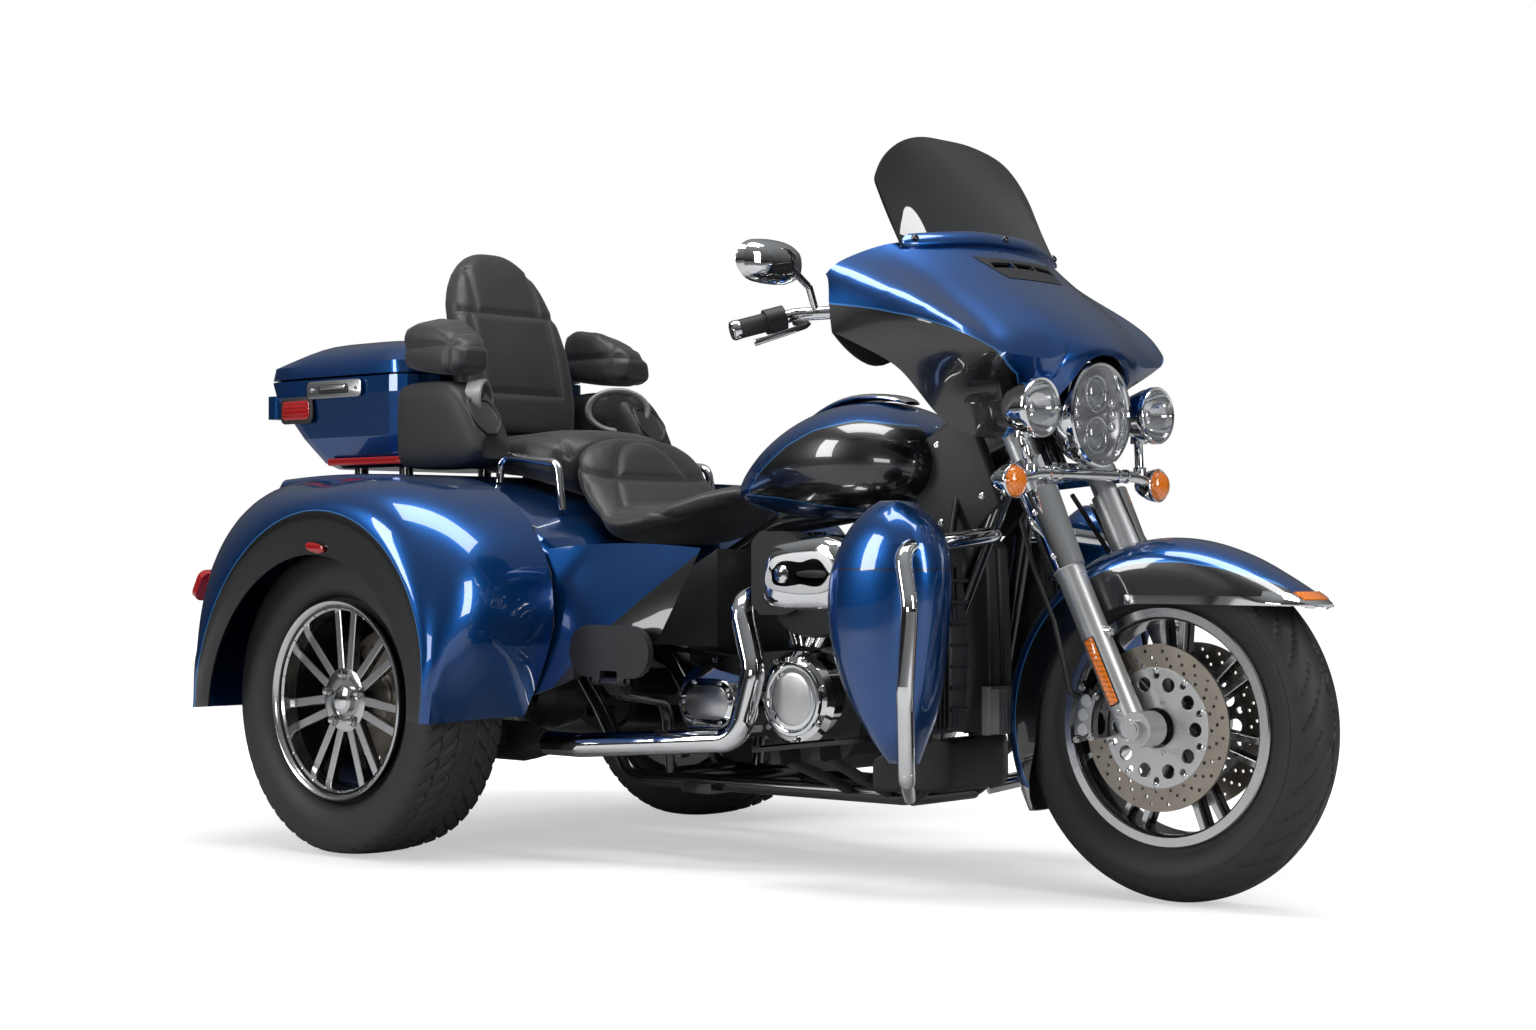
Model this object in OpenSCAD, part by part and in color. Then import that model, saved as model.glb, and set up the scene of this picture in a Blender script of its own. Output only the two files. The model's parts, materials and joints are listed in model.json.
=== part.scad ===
// Full-size touring trike: a two-cylinder motorcycle front with a fork-mounted fairing, and
// a two-wheel rear with a boot, a top box and seats for two. Millimetres, +X forward,
// +Y to the left, +Z up, origin on the ground in the middle of the overall length and width.

/* [Stance] */
// Front axle, ahead of the origin
front_axle_x = 1017; // [1010:1:1024]
// Rear axle, from the origin (negative is behind)
rear_axle_x = -653; // [-658:1:-648]
// Angle of the steering axis from the vertical
rake = 26; // [25.5:0.5:26.5]
// Distance of the front tyre's contact point behind the steering axis
trail = 110; // [105:1:115]
// Height of the lower frame rails' centre line
rail_z = 160; // [150:1:170]
// Ranges of the joints are in the record; this is the middle of the engine's V
engine_x = 240; // [235:1:245]

/* [Front wheel] */
// Radius of the front tyre
front_tyre_r = 318; // [312:1:322]
// Width of the front tyre
front_tyre_w = 130; // [122:1:134]
// Radius of the front rim's lips
front_rim_r = 218; // [212:1:222]
// Width between the front rim's lips
front_rim_w = 84; // [78:1:88]
// Radius of the front brake discs
front_disc_r = 150; // [140:1:154]

/* [Rear wheels] */
// Radius of the rear tyres
rear_tyre_r = 324; // [318:1:328]
// Width of the rear tyres
rear_tyre_w = 205; // [195:1:208]
// Distance of each rear tyre's middle from the centre plane
rear_track_half = 513; // [510:1:516]
// Radius of the rear rims' lips
rear_rim_r = 209; // [204:1:214]
// Width between the rear rims' lips
rear_rim_w = 176; // [170:1:180]
// Radius of the rear brake discs
rear_disc_r = 145; // [135:1:150]
// Pairs of spokes in every wheel
spoke_pairs = 7; // [6:1:8]
// Thickness of every brake disc
disc_t = 5; // [4:0.5:6]

/* [Fork] */
// Distance of each fork leg from the centre plane
leg_y = 112; // [110:1:116]
// Radius of the lower fork legs
leg_r = 27; // [24:1:28]
// Distance of the fork legs ahead of the steering axis
leg_offset = 22; // [20:1:24]
// Radius of the fork sleeves
sleeve_r = 31; // [29:1:32]

/* [Bodywork] */
// Half of the width over the rear fenders' lips
fender_lip_y = 691; // [690:1:700]
// Thickness of the painted panels
panel_t = 4; // [3:0.5:5]
// Half of the width inside the rear wheel arches
arch_y = 399; // [394:1:402]
// Half of the top box's width
box_half_w = 285; // [275:1:290]
// Height of the seam between the top box and its lid
lid_z = 1034; // [1028:1:1040]
// Wall of the top box and of the boot
wall = 5; // [4:0.5:7]
// Thickness of the windshield
screen_t = 5; // [4:0.5:6]

/* [Tubes] */
// Radius of the main frame tubes
frame_r = 17; // [15:1:19]
// Radius of the engine guard's tube
guard_r = 16; // [14:1:17]
// Radius of the handlebar
bar_r = 12.7; // [11:0.1:14]
// Radius of the mufflers
muffler_r = 42; // [38:1:44]

/* [Hidden] */
$fn = 48;
fit = 0.3;
front_axle_z = front_tyre_r;
rear_axle_z = rear_tyre_r;
axis_foot_x = front_axle_x + trail;
function axis_x(z) = axis_foot_x - z * tan(rake);
head_x = axis_x(890);
up_axis = [-sin(rake), 0, cos(rake)];

// Points and curves
function unit(v) = v / norm(v);
function sgn_pow(v, e) = (v < 0 ? -1 : 1) * pow(abs(v), e);
function arc(cx, cy, r, a0, a1, n) =
    [for (i = [0:n]) let (a = a0 + (a1 - a0) * i / n) [cx + r * cos(a), cy + r * sin(a)]];
// Rectangle of a width and height about the origin, with rounded corners
function rrect(w, h, r, n = 4) = concat(
    arc(w / 2 - r, h / 2 - r, r, 0, 90, n), arc(r - w / 2, h / 2 - r, r, 90, 180, n),
    arc(r - w / 2, r - h / 2, r, 180, 270, n), arc(w / 2 - r, r - h / 2, r, 270, 360, n));
// Closed oval of half sizes a and b; e is 2 for an ellipse and more for a squarer one
function oval(a, b, e, n) =
    [for (i = [0:n - 1]) let (t = 360 * i / n)
        [a * sgn_pow(cos(t), 2 / e), b * sgn_pow(sin(t), 2 / e)]];
// Smooth curve through a list of points or rows, k steps between each two
function smooth(p, k) = let (n = len(p)) concat(
    [for (i = [0:n - 2], s = [0:k - 1]) let (t = s / k, a = p[max(i - 1, 0)], b = p[i],
            c = p[i + 1], d = p[min(i + 2, n - 1)])
        0.5 * (2 * b + t * (c - a) + t * t * (2 * a - 5 * b + 4 * c - d)
            + t * t * t * (3 * b - a - 3 * c + d))], [p[n - 1]]);
function smooth_grid(g, kr, kc) =
    let (rows = [for (r = g) smooth(r, kc)], m = len(rows[0]))
    let (cols = [for (j = [0:m - 1]) smooth([for (r = rows) r[j]], kr)])
    [for (i = [0:len(cols[0]) - 1]) [for (j = [0:m - 1]) cols[j][i]]];
function mirror_y(p) = [for (q = p) [q[0], -q[1], q[2]]];
function six_volumes(p, f) =
    let (v = [for (t = f) p[t[0]] * cross(p[t[1]], p[t[2]])]) v * [for (x = v) 1];

// Closed solid from points and triangles, turned the right way out
module solid(p, f) {
    inside_out = six_volumes(p, f) > 0;
    polyhedron(p, [for (t = f) inside_out ? [t[2], t[1], t[0]] : t]);
}
// Solid through closed rings with the same number of points
module loft(rings) {
    n = len(rings);
    m = len(rings[0]);
    flat = [for (r = rings) each r];
    ones = [for (i = [0:m - 1]) 1];
    p = concat(flat, [ones * rings[0] / m, ones * rings[n - 1] / m]);
    side = [for (i = [0:n - 2], j = [0:m - 1]) let (a = i * m + j, b = i * m + (j + 1) % m)
        each [[a, b, b + m], [a, b + m, a + m]]];
    caps = [for (j = [0:m - 1]) let (b = (j + 1) % m, e = (n - 1) * m)
        each [[b, j, n * m], [e + j, e + b, n * m + 1]]];
    solid(p, concat(side, caps));
}
// Sheet of a thickness behind a grid of points; a negative thickness grows the other way
function grid_normal(g, i, j) = unit(cross(
    g[min(i + 1, len(g) - 1)][j] - g[max(i - 1, 0)][j],
    g[i][min(j + 1, len(g[0]) - 1)] - g[i][max(j - 1, 0)]));
function grid_offset(g, t) =
    [for (i = [0:len(g) - 1]) [for (j = [0:len(g[0]) - 1]) g[i][j] + t * grid_normal(g, i, j)]];
module sheet(g, t) {
    n = len(g);
    m = len(g[0]);
    p = concat([for (r = g) each r], [for (r = grid_offset(g, t)) each r]);
    k = n * m;
    faces = [for (i = [0:n - 2], j = [0:m - 2]) let (a = i * m + j, b = a + 1, c = a + m + 1, d = a + m)
        each [[a, b, c], [a, c, d], [k + a, k + c, k + b], [k + a, k + d, k + c]]];
    ends = [for (j = [0:m - 2]) let (a = j, b = j + 1, c = (n - 1) * m + j, d = c + 1)
        each [[b, a, k + a], [b, k + a, k + b], [c, d, k + d], [c, k + d, k + c]]];
    edges = [for (i = [0:n - 2]) let (a = i * m, b = a + m, c = a + m - 1, d = c + m)
        each [[a, b, k + b], [a, k + b, k + a], [d, c, k + c], [d, k + c, k + d]]];
    solid(p, concat(faces, ends, edges));
}
// Rings for a body along X: each row is x, half width, low z, high z, squareness
function body_rings(rows, n) =
    [for (r = rows) [for (q = oval(r[1], (r[3] - r[2]) / 2, r[4], n)) [r[0], q[0],
        q[1] + (r[2] + r[3]) / 2]]];

// Places and simple solids
module both_sides() {
    children();
    mirror([0, 1, 0]) children();
}
module across(x, y, z) translate([x, y, z]) rotate([-90, 0, 0]) children();
module ahead(x, y, z) translate([x, y, z]) rotate([0, 90, 0]) children();
module along(a, b, r, r2 = -1) {
    d = unit(b - a);
    s = abs(d[2]) < 0.9 ? unit(cross([0, 0, 1], d)) : unit(cross([0, 1, 0], d));
    t = cross(d, s);
    multmatrix([[s[0], t[0], d[0], a[0]], [s[1], t[1], d[1], a[1]], [s[2], t[2], d[2], a[2]]])
        cylinder(h = norm(b - a), r1 = r, r2 = r2 < 0 ? r : r2);
}
// Tube bent round the corners of a path; its straight lengths enter the bends by a socket
socket = 0.8;
socket_gap = 0.2;
module bent_tube(p, r, bend) {
    n = len(p);
    dir = [for (i = [0:n - 2]) unit(p[i + 1] - p[i])];
    turn = [for (i = [0:n - 1]) i == 0 || i == n - 1 ? 0 : acos(min(1, dir[i - 1] * dir[i]))];
    cut = [for (a = turn) bend * tan(a / 2) - (a > 0 ? socket : 0)];
    for (i = [0:n - 2]) {
        assert(cut[i] + cut[i + 1] < norm(p[i + 1] - p[i]) - 2, str("short ", p[i], p[i + 1]));
        along(p[i] + dir[i] * cut[i], p[i + 1] - dir[i] * cut[i + 1], r - socket_gap);
    }
    for (i = [1:1:n - 2]) {
        d = dir[i - 1];
        s = unit(dir[i] - d * (d * dir[i]));
        w = cross(-s, d);
        c = p[i] - d * (cut[i] + socket) + s * bend;
        multmatrix([[-s[0], d[0], w[0], c[0]], [-s[1], d[1], w[1], c[1]], [-s[2], d[2], w[2], c[2]]])
            rotate_extrude(angle = turn[i]) translate([bend, 0]) circle(r);
    }
}
module block(x0, x1, y0, y1, z0, z1, r) translate([(x0 + x1) / 2, (y0 + y1) / 2, z0])
    linear_extrude(z1 - z0) polygon(rrect(x1 - x0, y1 - y0, r));
module side_block(x0, x1, y0, y1, z0, z1, r) translate([(x0 + x1) / 2, y0, (z0 + z1) / 2])
    rotate([-90, 0, 0]) linear_extrude(y1 - y0) polygon(rrect(x1 - x0, z1 - z0, r));
// Outline in X and Z, from one Y to another
module side_plate(points, y0, y1) translate([0, y1, 0]) rotate([90, 0, 0])
    linear_extrude(y1 - y0) polygon(points);

// Wheels
module tyre(r, w, rim_r, rim_w, crown) {
    bead = rim_r - 16 + fit;
    half = [[bead, 0], [bead, rim_w / 2 - fit], [rim_r + 3, rim_w / 2 - fit],
        [rim_r + 8, rim_w / 2 + 6], [rim_r + 30, w / 2 - 4], [(rim_r + r) / 2, w / 2],
        [r - crown - 14, w / 2 - 3], [r - crown, w / 2 - 14], [r - crown * 0.45, w * 0.3],
        [r - crown * 0.12, w * 0.16], [r, 0]];
    other = [for (i = [9:-1:1]) [half[i][0], -half[i][1]]];
    rotate_extrude($fn = 96) polygon(concat(half, other));
}
module rim_barrel(rim_r, rim_w, lip) {
    seat = rim_r - 16;
    h = rim_w / 2;
    rotate_extrude($fn = 96) polygon([[seat - 9, -h - lip], [rim_r - 3, -h - lip], [rim_r, -h - lip + 3],
        [rim_r, -h], [seat, -h], [seat, h], [rim_r, h], [rim_r, h + lip - 3], [rim_r - 3, h + lip],
        [seat - 9, h + lip]]);
}
// Paired straight spokes from a hub radius out to the barrel
module spokes(r0, r1, inner_gap, outer_gap, bar_w, t) linear_extrude(t)
    for (i = [0:spoke_pairs - 1], s = [-1, 1]) rotate(i * 360 / spoke_pairs + 90)
        polygon([[r0, s * inner_gap - bar_w * 0.6], [r1, s * outer_gap - bar_w / 2],
            [r1, s * outer_gap + bar_w / 2], [r0, s * inner_gap + bar_w * 0.6]]);
module disc_ring(r, inner, holes) linear_extrude(disc_t) difference() {
    circle(r, $fn = 96);
    circle(inner, $fn = 64);
    for (i = [0:holes - 1], k = [0, 1]) rotate((i + k / 2) * 360 / holes)
        translate([r - 12 - 16 * k, 0]) circle(4.5, $fn = 16);
}
module disc_carrier(r_out, r_in, bore) linear_extrude(disc_t) difference() {
    union() {
        circle(r_in);
        for (i = [0:6]) rotate(i * 360 / 7) translate([r_in - 4, -9]) square([r_out - r_in + 6, 18]);
    }
    circle(bore);
}
hub_bore = 12;
front_hub_r = 46;
front_hub_half = leg_y - leg_r - 21;
module front_tyre() color("#202020") across(front_axle_x, 0, front_axle_z)
    tyre(front_tyre_r, front_tyre_w, front_rim_r, front_rim_w, 34);
module front_rim() color("#b8bbbe") across(front_axle_x, 0, front_axle_z) difference() {
    union() {
        rim_barrel(front_rim_r, front_rim_w, 6);
        translate([0, 0, -16]) spokes(front_hub_r - 6, front_rim_r - 22, 8, 22, 15, 32);
        translate([0, 0, -front_hub_half]) cylinder(h = 2 * front_hub_half, r = front_hub_r);
    }
    translate([0, 0, -120]) cylinder(h = 240, r = hub_bore + fit);
}
module front_discs() color("#8d8272") both_sides() across(front_axle_x, front_hub_half + fit,
    front_axle_z) {
    disc_ring(front_disc_r, front_disc_r - 44, 16);
    disc_carrier(front_disc_r - 42, 54, hub_bore + fit);
}
rear_bore = 20;
rear_hub_r = 52;
spoke_face = rear_rim_w / 2 - 48;
disc_plane = 56;
module rear_tyre() across(rear_axle_x, rear_track_half, rear_axle_z)
    tyre(rear_tyre_r, rear_tyre_w, rear_rim_r, rear_rim_w, 9);
module rear_rim() across(rear_axle_x, rear_track_half, rear_axle_z) difference() {
    union() {
        rim_barrel(rear_rim_r, rear_rim_w, 7);
        translate([0, 0, spoke_face]) spokes(rear_hub_r - 8, rear_rim_r - 22, 10, 26, 20, 26);
        translate([0, 0, -20]) cylinder(h = spoke_face + 50, r = rear_hub_r);
    }
    translate([0, 0, -30]) cylinder(h = 30 + spoke_face + 10, r = rear_bore + fit);
}
module rear_disc() across(rear_axle_x, rear_track_half, rear_axle_z) difference() {
    union() {
        translate([0, 0, -disc_plane]) disc_ring(rear_disc_r, 60, 14);
        translate([0, 0, -disc_plane]) cylinder(h = disc_plane - 20 - fit, r = 64);
    }
    translate([0, 0, -disc_plane - 1]) cylinder(h = disc_plane, r = rear_bore + fit);
}
module rear_tyre_left() color("#202020") rear_tyre();
module rear_tyre_right() color("#202020") mirror([0, 1, 0]) rear_tyre();
module rear_rim_left() color("#b8bbbe") rear_rim();
module rear_rim_right() color("#b8bbbe") mirror([0, 1, 0]) rear_rim();
module rear_disc_left() color("#77797c") rear_disc();
module rear_disc_right() color("#77797c") mirror([0, 1, 0]) rear_disc();

// Front fork and steering
function leg_at(z, s) = [axis_x(z) + leg_offset / cos(rake), s * leg_y, z];
yoke_low_z = 765;
yoke_high_z = 905;
yoke_t = 26;
stem_r = 14;
fork_tube_r = 24;
neck_r = 30;
module on_axis(z) translate([axis_x(z), 0, z]) rotate([0, -rake, 0]) children();
module yoke() difference() {
    linear_extrude(yoke_t) difference() {
        polygon(concat(arc(leg_offset, leg_y, 36, 0, 180, 8), [[-34, 30], [-34, -30]],
            arc(leg_offset, -leg_y, 36, 180, 360, 8), [[30, 60 - leg_y], [30, leg_y - 60]]));
        for (s = [-1, 1]) translate([leg_offset, s * leg_y]) circle(fork_tube_r + fit);
    }
}
module fork_yokes() color("#b9bcc0") {
    on_axis(yoke_low_z) union() {
        yoke();
        cylinder(h = (yoke_high_z - yoke_low_z) / cos(rake), r = stem_r);
    }
    on_axis(yoke_high_z) translate([0, 0, fit]) yoke();
}
leg_low_z = 300;
leg_top_z = 932;
function leg_h(z) = (z - leg_low_z) / cos(rake);
module fork_legs() color("#c4c6c8") for (s = [-1, 1]) difference() {
    union() {
        translate(leg_at(leg_low_z, s)) rotate([0, -rake, 0]) rotate_extrude()
            polygon([[0, 0], [leg_r - 8, 0], [leg_r, 12],
            [leg_r, leg_h(585)], [leg_r + 1, leg_h(585)], [leg_r + 1, leg_h(600)], [sleeve_r, leg_h(603)],
            [sleeve_r, leg_h(yoke_low_z - 22)], [fork_tube_r, leg_h(yoke_low_z - 22)],
                [fork_tube_r, leg_h(leg_top_z)], [0, leg_h(leg_top_z)]]);
        across(front_axle_x, s * leg_y - leg_r, front_axle_z) cylinder(h = 2 * leg_r, r = 32);
    }
    across(front_axle_x, -200, front_axle_z) cylinder(h = 400, r = hub_bore + fit);
}
module front_axle() color("#9a9da0") union() {
    across(front_axle_x, -leg_y - leg_r - 14, front_axle_z) cylinder(h = 2 * (leg_y + leg_r + 14),
        r = hub_bore);
    both_sides() across(front_axle_x, front_hub_half + disc_t + 2 * fit, front_axle_z)
        cylinder(h = leg_y - leg_r - front_hub_half - disc_t - 3 * fit, r = 19);
    both_sides() across(front_axle_x, leg_y + leg_r + fit, front_axle_z) cylinder(h = 12, r = 17);
}
// Front fender: angle about the axle, crown radius, edge radius, half width
fender_gap = 32;
fender_half_w = leg_y - leg_r - fit;
fender_rows = [[36.5, 59, 50, 32], [39, 54, 36, 54], [43, 47, 9, 72], [48, 40, -18, 80],
    [55, 32, -46, 84.7], [64, 28, -70, 84.7],
    [78, 26, -90, 84.7], [92, 26, -95, 84.7], [106, 26, -90, 84.7], [122, 27, -86, 84.7],
        [140, 29, -72, 84.7],
    [158, 31, -68, 84.7], [175, 32, -64, 84.7], [190, 31, -56, 82], [202, 30, -20, 78], [210, 30, 9, 56]];
function fender_row(r) = let (w = min(r[3], fender_half_w), top = front_tyre_r + r[1],
    edge = front_tyre_r + r[2],
        h = min(46, 0.9 * (top - edge)))
    [for (q = concat([[w, edge], [w, (edge + top - h) / 2]], [for (t = [0:22.5:180]) [w * cos(t),
        top - h + h * sin(t)]],
            [[-w, (edge + top - h) / 2], [-w, edge]]))
        [front_axle_x + q[1] * cos(r[0]), q[0], front_axle_z + q[1] * sin(r[0])]];
module front_fender() color("#1f4f86") sheet(smooth_grid([for (r = fender_rows) fender_row(r)], 2, 1),
    -panel_t);

// Batwing fairing: y, then x from the steering head and z at the lower edge, at the
// shoulder, at the brow, on the upper slope, below the vent and at the screen
fairing_cols = [
    [0, 175, 1000, 173, 1008, 165, 1022, 107, 1078, -3, 1165, -77, 1232],
    [60, 169, 985, 171, 998, 165, 1016, 105, 1077, -5, 1164, -80, 1231],
    [105, 145, 925, 152, 960, 160, 1002, 102, 1075, -11, 1162, -87, 1229],
    [150, 44, 842, 96, 925, 150, 985, 95, 1070, -21, 1158, -97, 1225],
    [220, -16, 862, 40, 935, 134, 990, 77, 1064, -43, 1152, -118, 1216],
    [270, -38, 905, 34, 955, 118, 996, 59, 1058, -61, 1146, -141, 1207],
    [330, -55, 968, 22, 990, 82, 1028, 24, 1084, -76, 1142, -158, 1186],
    [380, -100, 1006, -50, 1028, -15, 1062, -38, 1096, -93, 1128, -166, 1164],
    [404, -156, 1036, -160, 1062, -163, 1090, -163, 1108, -164, 1126, -168, 1144]];
function fairing_row(k) = let (half = [for (c = fairing_cols) [head_x + c[1 + 2 * k], c[0], c[2 + 2 * k]]])
    concat(mirror_y([for (i = [8:-1:1]) half[i]]), half);
vent_at = [head_x - 16, 0, 1180];
vent_slope = 42;
module fairing_outer() color("#1f4f86") difference() {
    sheet(smooth_grid([for (k = [0:5]) fairing_row(k)], 2, 2), panel_t);
    translate(vent_at) rotate([0, vent_slope, 0]) for (y = [-66, 0, 66]) translate([-9, y - 29, -20])
        cube([18, 58, 40]);
}
// Inner fairing: y, then x from the steering head and z at the lower edge, the dash and the top
dash_cols = [[0, -118, 1035, -112, 1100, -100, 1222], [150, -128, 1030, -124, 1096, -122, 1216],
    [230, -140, 1000, -136, 1070, -146, 1203], [300, -140, 975, -140, 1060, -158, 1188],
    [360, -152, 1000, -156, 1060, -170, 1166], [392, -166, 1036, -168, 1080, -172, 1140]];
function dash_row(k) = let (half = [for (c = dash_cols) [head_x + c[1 + 2 * k], c[0], c[2 + 2 * k]]])
    concat(mirror_y([for (i = [5:-1:1]) half[i]]), half);
speaker_y = 268;
module fairing_inner() color("#26282b") union() {
    sheet(smooth_grid([for (k = [0:2]) dash_row(k)], 2, 2), -panel_t - 2);
    both_sides() ahead(head_x - 152, speaker_y, 1085) cylinder(h = 14, r = 62);
    both_sides() ahead(head_x - 136, 62, 1150) cylinder(h = 26, r = 48);
    ahead(head_x - 132, 0, 1086) linear_extrude(22) polygon(rrect(70, 170, 12));
    // Stays that carry the fairing on the fork
    both_sides() {
        on_axis(yoke_high_z) translate([22, 62, yoke_t + 2 * fit]) cylinder(h = 16, r = 13);
        along([axis_x(yoke_high_z) + 4, 62, yoke_high_z + 42], [head_x - 118, 62, 1090], 8);
    }
}
// Windshield: y, then x from the steering head and z at the foot, the middle and the top
screen_cols = [[0, -66, 1222, -140, 1330, -218, 1440], [80, -70, 1221, -145, 1328, -214, 1437],
    [160, -88, 1215, -157, 1322, -202, 1416], [215, -108, 1209, -170, 1308, -197, 1380],
    [248, -124, 1204, -160, 1272, -190, 1336]];
function screen_row(k) = let (half = [for (c = screen_cols) [head_x + c[1 + 2 * k], c[0], c[2 + 2 * k]]])
    concat(mirror_y([for (i = [4:-1:1]) half[i]]), half);
module windshield() color([0.12, 0.13, 0.14, 0.8]) translate([panel_t + fit, 0, 0])
    sheet(smooth_grid([for (k = [0:2]) screen_row(k)], 3, 3), -screen_t);
lamp_x = head_x + 157;
lamp_z = 890;
lamp_r = 99;
module headlamp() color("#d8dadc") {
    ahead(lamp_x, 0, lamp_z) rotate_extrude() polygon([[0, -84], [60, -80], [lamp_r - 12, -50],
        [lamp_r - 2, -30],
        [lamp_r, 0], [lamp_r - 9, 6], [lamp_r - 14, -2], [0, -6]]);
    for (s = [-1, 1]) ahead(lamp_x - 6, 0, lamp_z + s * 38) cylinder(h = 8, r = 30);
}
passing_y = 190;
passing_z = 895;
passing_r = 55;
signal_y = 235;
signal_z = 762;
bar_x = axis_x(777) + 72;
bar_z = 777;
module lamp_bar() color("#cfd2d5") union() {
    both_sides() {
        ahead(head_x + 158, passing_y, passing_z) rotate_extrude()
            polygon([[0, -80], [22, -78], [42, -50], [passing_r - 3, -16],
            [passing_r, 0], [passing_r - 6, 5], [0, 2]]);
        ahead(bar_x + 4, signal_y, signal_z) rotate_extrude()
            polygon([[0, -48], [16, -44], [29, -18], [33, 0],
            [26, 12], [12, 18], [0, 19]]);
        along([head_x + 112, passing_y, passing_z - 30], [bar_x, passing_y - 14, bar_z], 9);
        along([bar_x, 150, bar_z], [bar_x - 8, signal_y, signal_z], 9);
        // Lugs that carry the bar on the lower yoke
        on_axis(yoke_low_z) difference() {
            translate([leg_offset + 20, leg_y - 14, -16]) cube([46, 28, 34]);
            translate([leg_offset, leg_y, -40]) cylinder(h = 80, r = 36 + fit);
        }
    }
    translate([bar_x, -152, bar_z]) rotate([-90, 0, 0]) cylinder(h = 304, r = 11);
}
bar_path = [[head_x - 48, 70, 962], [head_x - 165, 175, 985], [head_x - 215, 262, 1088],
    [head_x - 310, 330, 1082], [head_x - 377, 430, 1049]];
module handlebar() color("#d0d3d6") union() {
    bent_tube(concat(mirror_y([for (i = [4:-1:0]) bar_path[i]]), bar_path), bar_r, 40);
    both_sides() on_axis(yoke_high_z) translate([4, 34, yoke_t + 2 * fit]) cylinder(h = 44, r = 14);
}
module hand_controls() color("#1c1d1f") both_sides() {
    a = bar_path[3];
    b = bar_path[4];
    g = unit(b - a);
    difference() {
        union() {
            along(a + g * 62, b + g * 2, 18);
            along(a + g * 22, a + g * 60, 24);
        }
        along(a + g * 10, b + g * 20, bar_r + fit);
    }
    bent_tube([a + [8, 10, -16], a + [62, 22, -22], b + [60, 2, -26]], 6, 14);
}
mirror_c = [head_x - 275, 440, 1170];
module mirrors() color("#ced1d4") both_sides() {
    loft([for (r = [[-14, 0.9], [-6, 1], [8, 0.96], [22, 0.7], [30, 0.35]])
        [for (q = oval(85 * r[1], 43 * r[1], 2.6, 20)) [mirror_c[0] + r[0], mirror_c[1] + q[0],
            mirror_c[2] + q[1]]]]);
    bent_tube([[head_x - 262, 328, 1092], [head_x - 255, 352, 1128],
        [mirror_c[0] + 20, mirror_c[1] - 30, mirror_c[2] - 6]], 7, 20);
}
caliper_from = 150;
caliper_to = 192;
caliper_w = 54;
caliper_y = front_hub_half - 12;
hose_end = [front_axle_x + front_disc_r * cos(caliper_from + 9), front_axle_z + front_disc_r * sin(caliper_from + 9)];
function hose(s) = [[745, s * 60, 742], [750, s * 112, 690], [800, s * 140, 600], [846, s * 142, 505],
    [hose_end[0], s * 134, hose_end[1]], [hose_end[0], s * (caliper_y + caliper_w + fit), hose_end[1]]];
module front_calipers() color("#1b1b1c") both_sides() difference() {
    union() {
        across(front_axle_x, caliper_y, front_axle_z) linear_extrude(caliper_w)
            polygon(concat(arc(0, 0, front_disc_r + 12, -caliper_from, -caliper_to, 6),
                arc(0, 0, front_disc_r - 48, -caliper_to, -caliper_from, 4)));
        side_block(884, 958, front_hub_half + 24, front_hub_half + 40, 348, 384, 6);
    }
    across(front_axle_x, front_hub_half - 5.6, front_axle_z) cylinder(h = disc_t + 11.2,
        r = front_disc_r + 6);
    along(leg_at(200, 1), leg_at(600, 1), leg_r + fit);
}
module brake_hoses() color("#18191a") for (s = [-1, 1]) bent_tube(hose(s), 5, 22);

// Frame
housing_r = 34;
body_floor = 446;
sub_z = body_floor - frame_r - fit;
rail_y = 146;
down_tube = [[axis_x(830) - 34, 24, 830], [586, 88, 520], [512, 96, rail_z]];
function rx(x) = rear_axle_x + x;
neck_low = yoke_low_z + (yoke_t + 3) * cos(rake);
neck_high = yoke_high_z - 3;
module frame() color("#1b1c1e") difference() {
    union() {
        along([axis_x(neck_low), 0, neck_low], [axis_x(neck_high), 0, neck_high], neck_r);
        bent_tube([[axis_x(845) - 14, 0, 845], [430, 0, 740], [60, 0, 690], [-200, 0, 560],
            [-330, 0, 470]], 24, 120);
        both_sides() {
            bent_tube([down_tube[0], down_tube[1], down_tube[2], [-240, 140, rail_z],
                [-330, 143, 300], [-430, rail_y, sub_z], [rx(-400), rail_y, sub_z]], frame_r, 70);
            along([-330, 0, 470], [-430, rail_y, sub_z], frame_r - 2);
            // Arms that carry the axle housing
            side_plate([[rx(-60), sub_z], [rx(60), sub_z], [rx(42), rear_axle_z + housing_r + fit],
                [rx(-42), rear_axle_z + housing_r + fit]], rail_y - 7, rail_y + 7);
            // Pads for a jack
            block(-70, 10, 104, 168, rail_z - frame_r - 3, rail_z, 6);
        }
        for (x = [480, 0, -200]) translate([x, -96 - (480 - x) * 0.05, rail_z]) rotate([-90, 0, 0])
            cylinder(h = 2 * (96 + (480 - x) * 0.05), r = frame_r);
    }
    on_axis(700) cylinder(h = 300, r = stem_r + fit);
}
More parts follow.
